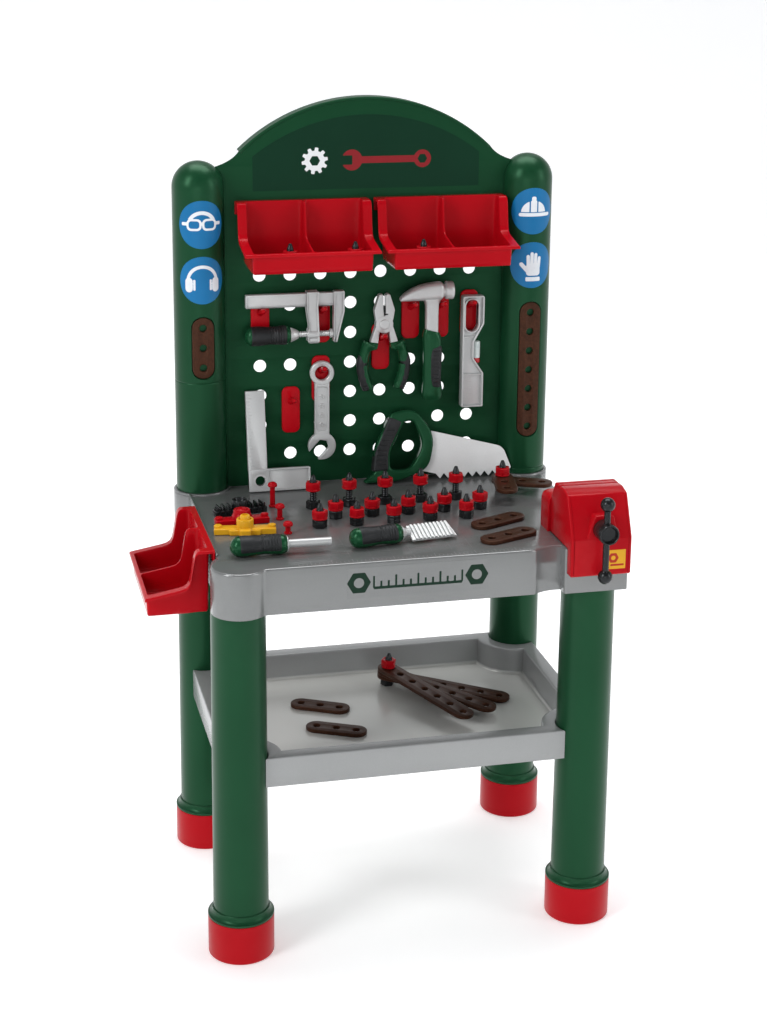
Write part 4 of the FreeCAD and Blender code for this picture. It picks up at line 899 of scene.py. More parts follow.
def cog_mark(u, v):
    """A toothed wheel with a six-sided hole."""
    angle = np.arctan2(v, u)
    teeth = 15.0 + 3.4 * np.clip(np.sin(10 * angle) * 2.2, -0.6, 0.6)
    return np.minimum(teeth - np.hypot(u, v), -six_sided(u, v, 0, 0, 6.0))


def spanner_mark(u, v):
    """A flat spanner lying down: a bar, a ring end and an open end."""
    bar = soft_box(u, v, 0, 0, 44, 4.4, 1.5)
    ring = np.minimum(11.5 - np.hypot(u - 47, v), -six_sided(u, v, 47, 0, 5.6))
    jaw = np.minimum(13.5 - np.hypot(u + 46, v), -soft_box(u, v, -58, 0, 12.5, 6.0, 1.5))
    return np.maximum(np.maximum(np.minimum(bar, np.hypot(u - 47, v) - 8), ring), jaw)


def measure_mark(u, v):
    """A rule between two nuts."""
    nuts = [np.minimum(six_sided(u, v, x, 0, 12.5), np.hypot(u - x, v) - 6.2) for x in (-72, 72)]
    line = soft_box(u, v, 0, -7.5, 54, 1.7, 0.8)
    spacing = 9.0
    nearest = np.round(u / spacing)
    tall = np.where(nearest % 3 == 0, 15.0, 8.5)
    tick = np.minimum(np.minimum(1.25 - np.abs(u - nearest * spacing), v + 7.5), tall - 7.5 - v)
    tick = np.minimum(tick, 55 - np.abs(u))
    return np.maximum.reduce(nuts + [line, tick])


def flat_print(name, x0, x1, z0, z1, y, mark, middle, film, spacing=0.8, top=None):
    """Thin film facing the front: its mark attribute is the signed distance of the graphic,
    worked out at every grid point about the middle. Top gives the upper edge's height at x."""
    xs = np.linspace(x0, x1, int((x1 - x0) / spacing) + 1)
    share = np.linspace(0, 1, int((z1 - z0) / spacing) + 1)
    x = np.broadcast_to(xs, (len(share), len(xs)))
    height = (top(xs) if top else np.full(len(xs), z1)) - z0
    z = z0 + share[:, None] * height[None]
    value = mark(x - middle[0], z - middle[1]) if mark else np.full(x.shape, -5.0)
    front = np.stack([x, np.full(x.shape, y), z], -1)
    back = front + np.array([0, 0.6, 0])
    marks = np.concatenate([value.ravel()] * 2)
    piece(name, [two_sided(front, back)], "bench", film, marks=marks)


def wrapped_disc(name, side, z, mark, film):
    """Round film bent round a post: rings of points (u, v) go to the angle u / radius."""
    radius = 30.5
    rings = np.concatenate([np.linspace(0.0, radius - 0.5, 30), [radius - 0.15, radius, radius]])
    lifts = np.concatenate([np.full(31, 0.45), [0.3, -0.4]])
    angles = np.arange(160) * 2 * math.pi / 160
    u = rings[:, None] * np.cos(angles)
    v = rings[:, None] * np.sin(angles)
    reach = POST_RADIUS + lifts[:, None]
    lean = u / POST_RADIUS
    points = np.stack([side * LEG_X + reach * np.sin(lean), POST_Y - reach * np.cos(lean), z + v],
                      -1)
    smaller = 0.86
    value = mark(u * smaller, v * smaller)
    piece(name, [skin(points)], "bench", film, marks=value.ravel())


def make_prints():
    """The films of the arch, the apron and the discs, and the finish of the vise label."""
    sign_film = printed("sign film", SIGN_GREEN, WHITE, 0.4, 0.0, 0.2)
    red_film = printed("sign red print", SIGN_GREEN, SIGN_RED, 0.4, 0.0, 0.2)
    apron_film = bench_silver("apron print", SILVER, SIGN_GREEN)
    blue_film = printed("blue disc film", BLUE, WHITE, 0.34)
    label_film = printed("vise label film", YELLOW, RED, 0.35)
    crown, half_chord = 992.0, 149.0
    rise = crown - 941.3
    sweep = (half_chord ** 2 + rise ** 2) / (2 * rise)

    def sign_top(x):
        return crown - sweep + np.sqrt(sweep ** 2 - (x - 1.0) ** 2)

    under, over = BOARD_Y - 0.10, BOARD_Y - 0.18
    flat_print("arch_sign", -148, 150, 897, crown, under, None, (0, 0), sign_film, 6.0,
               sign_top)
    flat_print("arch_cog", -89, -47, 913, 955, over, cog_mark, (-67.6, 934), sign_film)
    flat_print("arch_spanner", -36, 90, 917, 951, over, spanner_mark, (27, 934), red_film)
    flat_print("apron_rule", -93, 79, 462, 500, -181.75, measure_mark, (-7, 481), apron_film)
    wrapped_disc("disc_goggles", -1, 861, goggles_mark, blue_film)
    wrapped_disc("disc_ear_cups", -1, 790, ear_cups_mark, blue_film)
    wrapped_disc("disc_helmet", 1, 865.5, helmet_mark, blue_film)
    wrapped_disc("disc_glove", 1, 794, glove_mark, blue_film)
    return label_film


# ---------------------------------------------------------------- bins
def bin_solids():
    """One bin about its hanging plane (y = 0) and top (z = 0). Over the plan (x, v = -y) the
    upper side is the flange height h(v), or falls to the floor inside two pockets, by the
    distance in from the pocket's edge; the under side does the same round one larger pocket,
    one wall below. Both sides are joined round the rim."""
    x_spots = [(s * p, 2.4, 0.45) for s in (-1, 1) for p in (2.2, 74.6, 76.6, 86.0)]
    v_spots = [(8.0, 3.0, 0.45), (26.0, 7.0, 0.8), (80.3, 3.4, 0.45), (34, 6, 1.2)]
    xs = dense_lines(-BIN_HALF, BIN_HALF, 7.0, x_spots)
    vs = dense_lines(0.6, BIN_REACH, 3.0, v_spots)
    x, v = np.meshgrid(xs, vs, indexing="ij")
    run = [0, 19, 21.5, 23.5, 25, 29.2, 30.6, 33, 37, 43, 70, BIN_REACH]
    fall = [0, 0, -0.9, -3.6, -8.5, -33.0, -38.6, -42.8, -45.6, -47.4, -52.4, -55.0]
    h = np.interp(v, run, fall)
    edge = np.minimum(np.minimum(BIN_HALF - np.abs(x), BIN_REACH - v), 1.4)
    h = h - 1.3 * (1 - edge / 1.4) ** 2

    def inside(half_low, half_high, v_low, v_high):
        du = np.minimum(np.abs(x) - half_low, half_high - np.abs(x))
        dv = np.minimum(v - v_low, v_high - v)
        corner = 4.0
        a, b = corner - du, corner - dv
        rounded = corner - np.hypot(np.maximum(a, 0), np.maximum(b, 0))
        return np.where((a > 0) & (b > 0), rounded, np.minimum(du, dv))

    def wall(distance):
        return np.interp(distance, [0, 0.35, 1.35, 2.6, 5.5], [0, 0.07, 0.945, 0.985, 1.0])

    pockets = wall(inside(1.1, 75.3, 8.5, 79.8))
    body = wall(inside(-200.0, 77.5, 6.3, 82.0))
    top = h + (BIN_FLOOR - h) * pockets
    under = h - BIN_WALL + (BIN_FLOOR - h) * body
    upper = np.stack([x, -v, top], -1)
    lower = np.stack([x, -v, under], -1)
    lip = front_plate(outline(box_corners(-86.6, 86.6, -17.0, -1.2, 1.0)), -2.5, -0.3, 0.6)
    return [two_sided(upper, lower), lip]


def make_bins():
    """Two bins on the board and one, turned sideways, on the bench."""
    shapes = bin_solids()
    for name, place, turn in (("left", (LEFT_BIN_X, BOARD_Y, BIN_TOP), 0),
                              ("right", (RIGHT_BIN_X, BOARD_Y, BIN_TOP), 0),
                              ("side", (-BENCH_SIDE, SIDE_BIN_Y, SIDE_BIN_TOP), -90)):
        solids = [moved(s, place, turn_z=turn) for s in shapes]
        piece(name + "_hanging_bin", solids, name + "_bin", red, ["bin_" + name], crease=50)


# ---------------------------------------------------------------- hooks
def make_hooks():
    """Round-ended plates, each with a sloped arm in front and two pegs behind."""
    solids = []
    slope = np.array([0, -math.cos(HOOK_SLOPE), math.sin(HOOK_SLOPE)])
    for column, row in ((0, 5), (2, 5), (4, 4), (5, 5), (6, 5), (7, 5), (2, 3), (1, 2)):
        x, z = column_x(column), row_z(row)
        loop = outline(box_corners(x - 12, x + 12, z - 20 - 31.2, z - 20 + 31.2, 8))
        solids.append(front_plate(loop, BOARD_Y - 4.0, BOARD_Y - 0.05, 1.3))
        root = np.array([x, BOARD_Y - 2.0, z - HOOK_ARM_DROP + 0.54])
        tip = np.sin(np.radians(np.linspace(12, 90, 9)))
        s = np.concatenate([[0, 2, 3.5, 26], 26 + 7.4 * tip])
        narrowing = np.cos(np.radians(np.linspace(12, 89, 9)))
        size = np.concatenate([[6.0, 4.6, 3.7, HOOK_ARM_RADIUS], HOOK_ARM_RADIUS * narrowing])
        solids.append(swept(root + s[:, None] * slope, size, 24))
        for peg in (z, z - PEG_PITCH):
            ends = (x, BOARD_Y - 1, peg), (x, BOARD_Y + 5, peg)
            solids.append(rod_with_round_ends(*ends, 7.9, 1.0, 32))
    piece("hooks", solids, "bench", hook_red, ["tool_hooks"])


# ---------------------------------------------------------------- strips, bolts and nuts
def strip_solid(holes):
    """Round-ended bar with a row of holes, from its first hole at the origin."""
    length = (holes - 1) * STRIP_PITCH
    plan = box_corners(-STRIP_HALF, length + STRIP_HALF, -STRIP_HALF, STRIP_HALF, 13.95)
    loop = outline(plan, 8)
    drills = [circle(i * STRIP_PITCH, 0, 4.8, 24) for i in range(holes)]
    return plate(loop, 0.05, 4.95, 0.9, drills)


def hexagon_bar(flat_radius, low, high, bevel=0.9):
    """A six-sided bar from low to high, with its corners just rounded."""
    angles = [math.radians(60 * i) for i in range(6)]
    corners = [(flat_radius * math.cos(a), flat_radius * math.sin(a), 0.8) for a in angles]
    return plate(outline(corners, 30), low, high, bevel)


def bolt_solids(shank):
    """A bolt on its head: chamfered six-sided head, ring thread and a blunt tip."""
    top = BOLT_HEAD + shank + NUT_HEIGHT + 1.5
    head = hexagon_bar(9.4, 0.05, BOLT_HEAD, 1.2)
    thread = threaded((0, 0, 10.0), (0, 0, top), BOLT_RADIUS)
    tip_profile = [(0, top - 0.2), (BOLT_RADIUS, top - 0.2), (BOLT_RADIUS, top + 0.6),
                   (2.0, top + 7.0), (1.2, top + 7.5), (0, top + 7.5)]
    return [head, thread, turned(tip_profile, 24)]


def nut_solids(shank):
    """A six-sided nut with a round flange under it, above a shank of this length."""
    low = BOLT_HEAD + shank + 0.3
    loop = outline([(u, v, 0.9) for u, v in six_loop(0, 0, 10.2)], 30)
    flange = turned([(4.6, low), (8.9, low), (9.5, low + 0.5), (9.5, low + 2.2),
                     (8.6, low + 3.0), (4.6, low + 3.0), (4.6, low)], 28)
    return [plate(loop, low + 2.2, low + 11.2, 1.3, [circle(0, 0, 4.5, 24)]), flange]


FAN_TURNS = (-31.0, -48.0, -65.0)
FAN_LEAN = math.radians(3.45)
BRACKET_TURNS = (-24.0, -100.0)


def on_fan(solid):
    """Lean a solid of the fan towards its far end and set it on the shelf."""
    heading = math.radians(FAN_TURNS[1])
    lean = Matrix.Rotation(FAN_LEAN, 3, Vector((-math.sin(heading), math.cos(heading), 0)))
    rise = 8.6 * math.sin(FAN_LEAN)
    place = np.array([24.0, 96.0, SHELF_FLOOR + rise + 0.1])
    return solid[0] @ np.array(lean).T + place, solid[1]


def make_hardware():
    """Bolts in three rows, strips on the top, on the shelf and in the posts, pins, and what
    lies in the upper bins."""
    short, long_ones, bolts, nuts = [], [], [], []
    rows = ((-91.5, 30.0, 13.0, 0), (-71.5, -14.0, 0.0, 1), (-98.0, -45.0, 0.0, 2))
    for first, y, shank, number in rows:
        for i in range(5):
            place = (first + i * 47.0, y, BENCH_TOP)
            turn = 17 * i + 23 * number
            bolts += [moved(s, place, turn) for s in bolt_solids(shank)]
            nuts += [moved(s, place, turn + 11) for s in nut_solids(shank)]
    for level, turn in enumerate(FAN_TURNS):
        long_ones.append(on_fan(moved(strip_solid(7), (0, 0, BOLT_HEAD + 5 * level), turn)))
    bolts += [on_fan(s) for s in bolt_solids(15)]
    nuts += [on_fan(s) for s in nut_solids(15)]
    pivot = (166.0, 52.0)
    for level, turn in enumerate(BRACKET_TURNS):
        short.append(moved(strip_solid(3), (*pivot, BENCH_TOP + BOLT_HEAD + 5 * level), turn))
    bolts += [moved(s, (*pivot, BENCH_TOP)) for s in bolt_solids(10)]
    nuts += [moved(s, (*pivot, BENCH_TOP), 15) for s in nut_solids(10)]
    for x, y, z, turn in ((99.0, -85.5, BENCH_TOP, 25), (95.0, -141.0, BENCH_TOP, 22),
                          (-103.0, 52.0, SHELF_FLOOR, -28), (-97.0, -22.0, SHELF_FLOOR, -27)):
        short.append(moved(strip_solid(3), (x, y, z), turn))
    pocket_floor = POST_Y - POST_RADIUS + POCKET_DEPTH
    for side, top, holes, group in ((-1, LEFT_POCKET, 3, short), (1, RIGHT_POCKET, 7, long_ones)):
        points, faces = strip_solid(holes)
        upright = np.stack([points[:, 1] + side * LEG_X, pocket_floor - points[:, 2],
                            top - 15.0 - points[:, 0]], 1)
        group.append((upright, faces))
    piece("short_strips", short, "bench", brown, ["strips_short"])
    piece("long_strips", long_ones, "bench", brown, ["strips_long"])
    piece("bench_bolts", bolts, "bench", black, ["bolts"])
    piece("bench_nuts", nuts, "bench", red, ["nuts"])
    pins = []
    for y, height in ((46.0, 33.0), (-6.0, 21.0), (-61.0, 16.0)):
        top = BENCH_TOP + height
        profile = [(0, BENCH_TOP + 0.05), (4.6, BENCH_TOP + 0.05), (5.0, BENCH_TOP + 0.5),
                   (5.0, BENCH_TOP + 2.0), (3.4, BENCH_TOP + 3.0), (3.2, top - 6.5),
                   (5.6, top - 6.0), (6.2, top - 5.2), (6.1, top - 3.4), (5.2, top - 1.6),
                   (3.4, top - 0.4), (1.5, top), (0, top)]
        pins.append(turned(profile, 32, "z", (-141.0, y, 0)))
    piece("red_pins", pins, "bench", red, ["pins"])
    floor = BIN_TOP + BIN_FLOOR
    for name, spots in (("left", ((LEFT_BIN_X - 24, 5), (LEFT_BIN_X + 60, 40))),
                        ("right", ((RIGHT_BIN_X - 32, 20),))):
        body = name + "_bin"
        in_bin = []
        nuts_in_bin = []
        for x, turn in spots:
            in_bin += [moved(s, (x, BOARD_Y - 50, floor), turn) for s in bolt_solids(0)]
            nuts_in_bin += [moved(s, (x, BOARD_Y - 50, floor), turn + 9) for s in nut_solids(0)]
        piece(body + "_loose_bolts", in_bin, body, black, ["bin_" + name + "_bolts"])
        piece(body + "_loose_nuts", nuts_in_bin, body, red, ["bin_" + name + "_nuts"])


def make_wing_pieces():
    """Saddle-shaped wings with a round boss: the wing is a bent bar section carried 16 deep."""
    for name, finish, slot, x, y, span, turn in (
            ("wing_piece_yellow", yellow, "yellow", -192.0, -48.0, 38.0, -8),
            ("wing_piece_red", red, "red", -190.0, -12.0, 34.0, 4),
            ("wing_piece_black", black, "black", -186.0, 28.0, 34.0, 10)):
        bend = span * 0.45
        section = outline([(-span, 0.1, 1), (-bend, 0.1, 5), (0, 5, 12), (bend, 0.1, 5),
                           (span, 0.1, 1), (span, 8, 2), (bend, 8, 6), (-bend, 8, 6), (-span, 8, 2)])
        wings = front_plate(section, -8, 8, 1.2)
        rim = [(0, 4.5), (10.2, 4.5), (10.5, 6), (10.5, 17.4), (9.9, 18.6), (8.8, 19.0),
               (8.0, 18.8), (7.4, 17.6), (7.2, 15.0), (6.6, 14.2), (0, 14.2)]
        solids = [wings, turned(rim, 48)]
        knob_x = span - 5.0
        for side in (-1, 1):
            tooth = hexagon_bar(5.2, 7.5, 11.0, 0.8)
            solids.append((tooth[0] + np.array([side * knob_x, 0, 0]), tooth[1]))
        if slot == "yellow":
            lobes = [plate(outline(box_corners(-7, 7, -19, 19, 3)), 0.1, 9.0, 1.2),
                     plate(outline(box_corners(-20, 20, -11, 11, 4)), 0.1, 7.0, 1.2)]
            cap_profile = [(0, 14), (6.0, 14), (6.2, 22.0), (5.2, 23.4), (3.6, 23.8), (3.2, 21.0), (0, 21.0)]
            solids += lobes + [turned(cap_profile, 40)]
        elif slot == "red":
            dome = np.radians(np.linspace(0, 90, 12))
            curve = list(zip(13.0 * np.cos(dome), 6.0 + 14.5 * np.sin(dome)))[:-1]
            solids.append(turned([(0, 6.0)] + curve + [(0, 20.5)], 48))
        else:
            tooth_loop = outline(box_corners(-9.5, 9.5, 0.6, 13.0, 2))
            for k in range(-4, 5):
                if abs(k) > 1:
                    tooth = side_plate(tooth_loop, -1.1, 1.1, 0.4)
                    solids.append(moved(tooth, (k * 7.2, 0, 0)))
        placed = [moved(s, (x, y, BENCH_TOP), turn) for s in solids]
        piece(name + "_shape", placed, "bench", finish, [name])


# ---------------------------------------------------------------- vise
def make_vise(label_film):
    """Slabs carried along x between rounded flanks: the moving jaw's section is a hood with a
    hollow under it, and both flanks are whole."""
    x0, x1 = VISE_X - 38.0, VISE_X + 38.0
    back, low = -119.8, BENCH_TOP + 0.3
    front, skirt = -203.0, -187.3
    grooves = []
    for y in (front + 62, front + 52):
        grooves += [(y + 1.6, 574.5, 0.5), (y + 0.5, 573.1, 0.3), (y - 0.5, 573.1, 0.3),
                    (y - 1.6, 574.5, 0.5)]
    roof = [(back, 550, 2), (back - 14, 574, 3)] + grooves + [
        (front + 38, 575, 8), (front + 22, 571, 6), (front, 522, 5), (front, 475, 3)]
    inner = [(back - 3, low), (back - 3, 548), (back - 19, 571), (front + 38, 572),
             (front + 24, 568), (front + 3, 521), (front + 3, 478), (skirt, 478)]
    flank = outline([(back, low, 0.8)] + roof + [(skirt, 475, 1), (skirt, low, 0.8)], 12)
    hood = outline([(back, low, 0)] + roof + [(skirt, 475, 0)] + [(*p, 0) for p in inner[::-1]], 12)
    solids = [side_plate(flank, x0, x0 + 4.0, 1.9, high_bevel=0.01),
              side_plate(flank, x1 - 4.0, x1, 0.01, high_bevel=1.9),
              side_plate(hood, x0 + 3.5, x1 - 3.5, 0.01)]
    boss = outline([(VISE_X - 21, 518, 2), (VISE_X + 23, 518, 2), (VISE_X + 14, 551, 5),
                    (VISE_X - 10, 551, 5)])
    bore = circle(VISE_X, VISE_AXIS, 5.3)
    solids.append(front_plate(boss, front + 0.1, front + 22, 2.0, [bore], high_bevel=0.1))
    piece("vise_hood", solids, "vise_moving_jaw", red, ["vise_jaw"])
    half, grip_face = 40.5, -119.2
    plan = outline([(VISE_X - half, grip_face, 1), (VISE_X + half, grip_face, 1),
                    (VISE_X + half, -74, 20), (VISE_X - half, -74, 20)], 6)
    steps = [(0.6, BENCH_TOP + 0.02), (0, BENCH_TOP + 0.6), (0, 539.0), (0.8, 543.5),
             (3.2, 547.4), (7.5, 549.6), (12.0, 550.0)]
    middle = np.array([VISE_X, grip_face])
    rows = []
    for shrink, z in steps:
        shares = np.array([1 - shrink * 0.35 / half, 1 - shrink / 45.2])
        rows.append(np.column_stack([middle + (plan - middle) * shares, np.full(len(plan), z)]))
    tongue_loop = outline(box_corners(VISE_X - 20, VISE_X + 20, -184.0, -118.5, 1.5))
    tongue = plate(tongue_loop, BENCH_TOP + 0.02, 516.0, 1.2)
    piece("vise_fixed_jaw", [skin(rows), tongue], "bench", red, ["vise_base"])
    hub_front = front - 0.3 - 26.0
    hub = [(0, hub_front + 5.5), (8.6, hub_front + 5.2), (9.8, hub_front + 1.0), (10.6, hub_front + 0.1),
           (11.8, hub_front + 0.3), (12.5, hub_front + 1.8), (12.5, front - 1.6),
           (11.8, front - 0.3), (5.0, front - 0.3), (5.0, front + 16), (8.0, front + 16), (8.0, front + 19),
           (5.0, front + 19), (5.0, -86), (4.2, -84.2), (0, -84.2)]
    piece("vise_spindle_shape", [turned(hub, 56, "y", (VISE_X, 0, VISE_AXIS))], "vise_spindle",
          black, ["vise_screw"])
    bar_y = hub_front + 11.5
    middle_z = VISE_AXIS - 10.2
    ends = (middle_z - 45.0, middle_z + 45.0)
    bar = [rod_with_round_ends((VISE_X, bar_y, ends[0]), (VISE_X, bar_y, ends[1]), 4.0)]
    bar += [ball((VISE_X, bar_y, z), 8.9, 40) for z in ends]
    piece("vise_handle_bar", bar, "vise_bar", black, ["tommy_bar"])
    xs = np.linspace(VISE_X + 7.5, VISE_X + 30.5, 30)
    zs = np.linspace(483, 507, 31)
    x, z = np.meshgrid(xs, zs)
    face = np.stack([x, np.full(x.shape, front - 0.25), z], -1)
    u, v = x - (VISE_X + 19), z - 495
    value = np.maximum(np.minimum(six_sided(u, v, -4, 2, 6.0), np.hypot(u + 4, v - 2) - 2.8),
                       soft_box(u, v, 1.0, -7.0, 8.5, 1.3, 0.6))
    label = two_sided(face, face + np.array([0, 0.6, 0]))
    piece("vise_label", [label], "vise_moving_jaw", label_film,
          marks=np.concatenate([value.ravel()] * 2))


# ---------------------------------------------------------------- turned handles
def handle_radius(x, radius):
    """Radius along a handle: a round dome up to 0.17, a bulb, a waist at 0.58, a shoulder."""
    dome = np.sqrt(np.clip(1 - (1 - np.clip(x / 0.17, 0, 1)) ** 2, 0, 1))
    fine = np.linspace(0, 1, 101)
    shape = np.interp(fine, [0, 0.3, 0.45, 0.58, 0.72, 0.84, 0.93, 0.97, 1.0],
                      [1.0, 1.0, 0.93, 0.87, 0.93, 0.985, 0.97, 0.89, 0.72])
    kernel = np.hanning(9) / np.hanning(9).sum()
    shape = np.convolve(np.pad(shape, 4, mode="edge"), kernel, "valid")
    return radius * dome * np.interp(x, fine, shape)


def banded_handle(length, radius, place, count=44):
    """Handle along -x: radius over x swells to a bulb at its free end, a waist, and a collar;
    place maps the finished points."""
    end = 0.17 * (1 - np.cos(np.linspace(0.03, math.pi / 2, 14)))
    x = np.concatenate([end, np.linspace(0.19, 1.0, 44)])
    size = handle_radius(x, radius)
    body = turned(np.concatenate([[[0, -length]], np.stack([size, -length + x * length], 1)]), count, "x")
    return place(body)


def grip_shell(length, radius, start, end, place, ribs=14):
    """Soft sleeve over part of a handle: it follows the handle 0.5 mm proud, over the upper
    230 degrees, and its far half carries shallow ribs."""
    s = np.linspace(start, end, 60)
    base = handle_radius(s, radius)
    t = np.radians(np.linspace(-28, 208, 40))
    share = (s - start) / (end - start)
    taper = np.clip(np.minimum(share, 1 - share) * 14, 0, 1) ** 0.5
    sides = np.clip(np.minimum(np.arange(40), np.arange(40)[::-1]) / 3.0, 0, 1) ** 0.5
    ribbed = 0.9 * np.clip(np.sin(share * ribs * 2 * math.pi), -0.4, 0.4) * (share > 0.5) * (share < 0.94)
    fade = taper[:, None] * sides[None]
    lift = (0.55 + ribbed)[:, None] * fade - 0.35 * (1 - fade)
    outer = base[:, None] + lift
    inner = np.minimum(base[:, None] - 0.8, outer - 0.3) + 0 * t[None]

    def grid(r):
        along = np.broadcast_to((-length + s * length)[:, None], r.shape)
        return np.stack([along, r * np.cos(t), r * np.sin(t)], -1)

    return place(two_sided(grid(outer), grid(inner)))


def make_bench_tools():
    """The nut driver and the rasp, both along x and then turned a little on the bench top."""
    level_z = BENCH_TOP + HANDLE_RADIUS + 0.05

    def at_driver(solid):
        return moved(solid, (-156.0, -132.0, level_z), turn_z=-1)

    handle = banded_handle(68.0, HANDLE_RADIUS, at_driver)
    collar = at_driver(turned([(0, -1.2), (8.8, -1.2), (9.2, -0.4), (9.2, 0.8), (8.2, 1.8),
                               (6.2, 2.4), (0, 2.4)], 40, "x"))
    piece("driver_green_handle", [handle], "nut_driver", handle_green, ["driver_handle"])
    sleeve = grip_shell(68.0, HANDLE_RADIUS, 0.16, 0.9, at_driver)
    piece("driver_black_sleeve", [sleeve], "nut_driver", grip, ["driver_grip"])
    tube = [(0, 2.0), (5.0, 2.0), (5.0, 53.4), (4.5, 54.0), (3.8, 54.0), (3.2, 53.4), (3.2, 44.0),
            (0, 44.0)]
    shaft = at_driver(turned(tube, 40, "x"))
    piece("driver_silver_shaft", [shaft, collar], "nut_driver", tool_silver,
          ["driver_shaft"])

    def at_rasp(solid):
        return moved(solid, (-14.0, -122.0, level_z), turn_z=8)

    handle = banded_handle(66.0, HANDLE_RADIUS, at_rasp)
    piece("rasp_green_handle", [handle], "rasp", handle_green, ["rasp_handle"])
    sleeve = grip_shell(66.0, HANDLE_RADIUS, 0.17, 0.9, at_rasp)
    piece("rasp_black_sleeve", [sleeve], "rasp", grip, ["rasp_grip"])
    tang = turned([(0, -2), (8.6, -2), (8.8, 0.6), (7.0, 3.0), (5.0, 6.0), (4.6, 12.0), (0, 12.0)], 36, "x")
    teeth = np.arange(15.0, 62.0, 5.0)
    top = [(x + d, z) for x in teeth for d, z in ((0.0, 0.2), (0.7, 2.0), (3.0, 2.0), (3.6, 0.2))]
    section = np.array([(11.0, -2.4), (70.0, -2.4), (68.5, 0.2)] + top[::-1] + [(11.0, 0.2)])
    half = 12.6
    blade_low = np.column_stack([section[:, 0], np.full(len(section), -half), section[:, 1]])
    blade_high = np.column_stack([section[:, 0] - 4.0 * (section[:, 0] > 64), np.full(len(section), half),
                                  section[:, 1]])
    blade = moved(skin([blade_low, blade_high]), (0, 0, -1.5), turn_x=24)
    piece("rasp_silver_blade", [at_rasp(blade), at_rasp(tang)], "rasp", tool_silver,
          ["rasp_blade"], crease=25)


# ---------------------------------------------------------------- hanging tools
def arm_top(z, depth):
    """Height of the top of a hook's arm, this far in front of the board."""
    middle = z - HOOK_ARM_DROP + depth * math.tan(HOOK_SLOPE)
    return middle + HOOK_ARM_RADIUS / math.cos(HOOK_SLOPE)


def make_clamp():
    """A rail with a fixed jaw at its right end, a slider in two bands, and the spindle."""
    y = BOARD_Y - 17.0
    low = arm_top(row_z(5), 21.0) + 0.3
    high = low + 17.5
    axis = low - 37.0
    tip = axis - 11.0
    left, right = -161.5, -32.7
    beam = outline(box_corners(left, right - 8, low, high, 1.6))
    bar = front_plate(inset(beam, 0.6), y - 2.8, y + 2.8, 0.2)
    flange = front_plate(beam, y - 4, y + 4, 0.6, [inset(beam, 2.4)])
    web = outline([(right - 13, tip + 1, 1), (right - 9.5, tip + 1, 1), (right - 1, low - 8, 6),
                   (right - 1, high + 0.5, 1), (right - 13, high + 0.5, 1)])
    edge = outline([(right - 14, tip, 1), (right - 9.5, tip, 1), (right, low - 8, 6),
                    (right, high + 1.5, 1), (right - 14, high + 1.5, 1)])
    jaw = front_plate(web, y - 3.4, y + 3.4, 0.4)
    rim = front_plate(edge, y - 6, y + 6, 0.6, [inset(edge, 2.0)])
    piece("clamp_rail_shape", [bar, flange, jaw, rim], "clamp_rail", tool_silver,
          ["clamp_frame"])
    x0, x1 = -82.4, -66.0
    side = outline([(x0 + 1, tip, 3), (x1 + 0.5, tip, 3), (x1 - 1.5, low, 10),
                    (x1 - 0.5, high + 2, 1), (x0, high + 2, 1), (x0, low - 4, 12),
                    (x0 + 3.5, axis + 10, 8)])
    bands = []
    for near, far, rim_near, rim_far in ((-6.1, -4.4, -7.5, -5.6), (4.4, 6.1, 5.6, 7.5)):
        bands.append(front_plate(inset(side, 0.6), y + near, y + far, 0.2))
        bands.append(front_plate(side, y + rim_near, y + rim_far, 0.5, [inset(side, 2.1)]))
    bridge_top = outline(box_corners(x0 + 0.4, x1 - 0.9, high + 0.35, high + 1.9, 0.5))
    bridge_low = outline([(x0 + 1.4, tip + 1, 2), (x1 + 0.1, tip + 1, 2), (x1 - 1.4, low - 0.4, 1),
                          (x0 + 0.4, low - 0.4, 1), (x0 + 0.6, low - 6, 6), (x0 + 4, axis + 10, 6)])
    bridges = [front_plate(bridge_top, y - 4.6, y + 4.6, 0.05),
               front_plate(bridge_low, y - 4.6, y + 4.6, 0.05)]
    boss = rod_with_round_ends((x0 + 1.2, y, axis), (x1 - 0.2, y, axis), 8.0, 1.2, 32)
    piece("clamp_slider_shape", bands + bridges + [boss], "clamp_slider", tool_silver,
          ["clamp_arm"])
    pad_x = right - 14.3
    pad = turned([(0, pad_x - 4.5), (5.0, pad_x - 4.5), (6.0, pad_x - 3.4), (6.0, pad_x - 0.8),
                  (5.3, pad_x - 0.02), (0, pad_x - 0.02)], 36, "x", (0, y, axis))
    piece("clamp_pad_shape", [pad], "clamp_foot", tool_silver, ["clamp_pad"])
    ferrule = x0 - 10.0
    screw = threaded((ferrule - 8, y, axis), (pad_x - 4.6, y, axis), 4.0, 3.0, 0.8, 24)
    cone = turned([(0, ferrule - 11), (9.3, ferrule - 11), (9.5, ferrule - 10), (8.0, ferrule - 6),
                   (6.6, ferrule - 3), (5.4, ferrule - 0.6), (4.6, ferrule), (0, ferrule)],
                  40, "x", (0, y, axis))
    piece("clamp_spindle_shape", [screw, cone], "clamp_spindle", tool_silver, ["clamp_screw"])
    end = ferrule - 11.0

    def at_handle(solid):
        return solid[0] + np.array([end, y, axis]), solid[1]

    handle = banded_handle(60.0, HANDLE_RADIUS, at_handle)
    piece("clamp_green_handle", [handle], "clamp_spindle", handle_green, ["clamp_handle"])
    sleeves = [grip_shell(60.0, 12.2, 0.13, 0.92, lambda s, k=k: at_handle(moved(s, turn_x=k)))
               for k in (0, 125, 250)]
    piece("clamp_black_sleeve", sleeves, "clamp_spindle", grip, ["clamp_grip"])


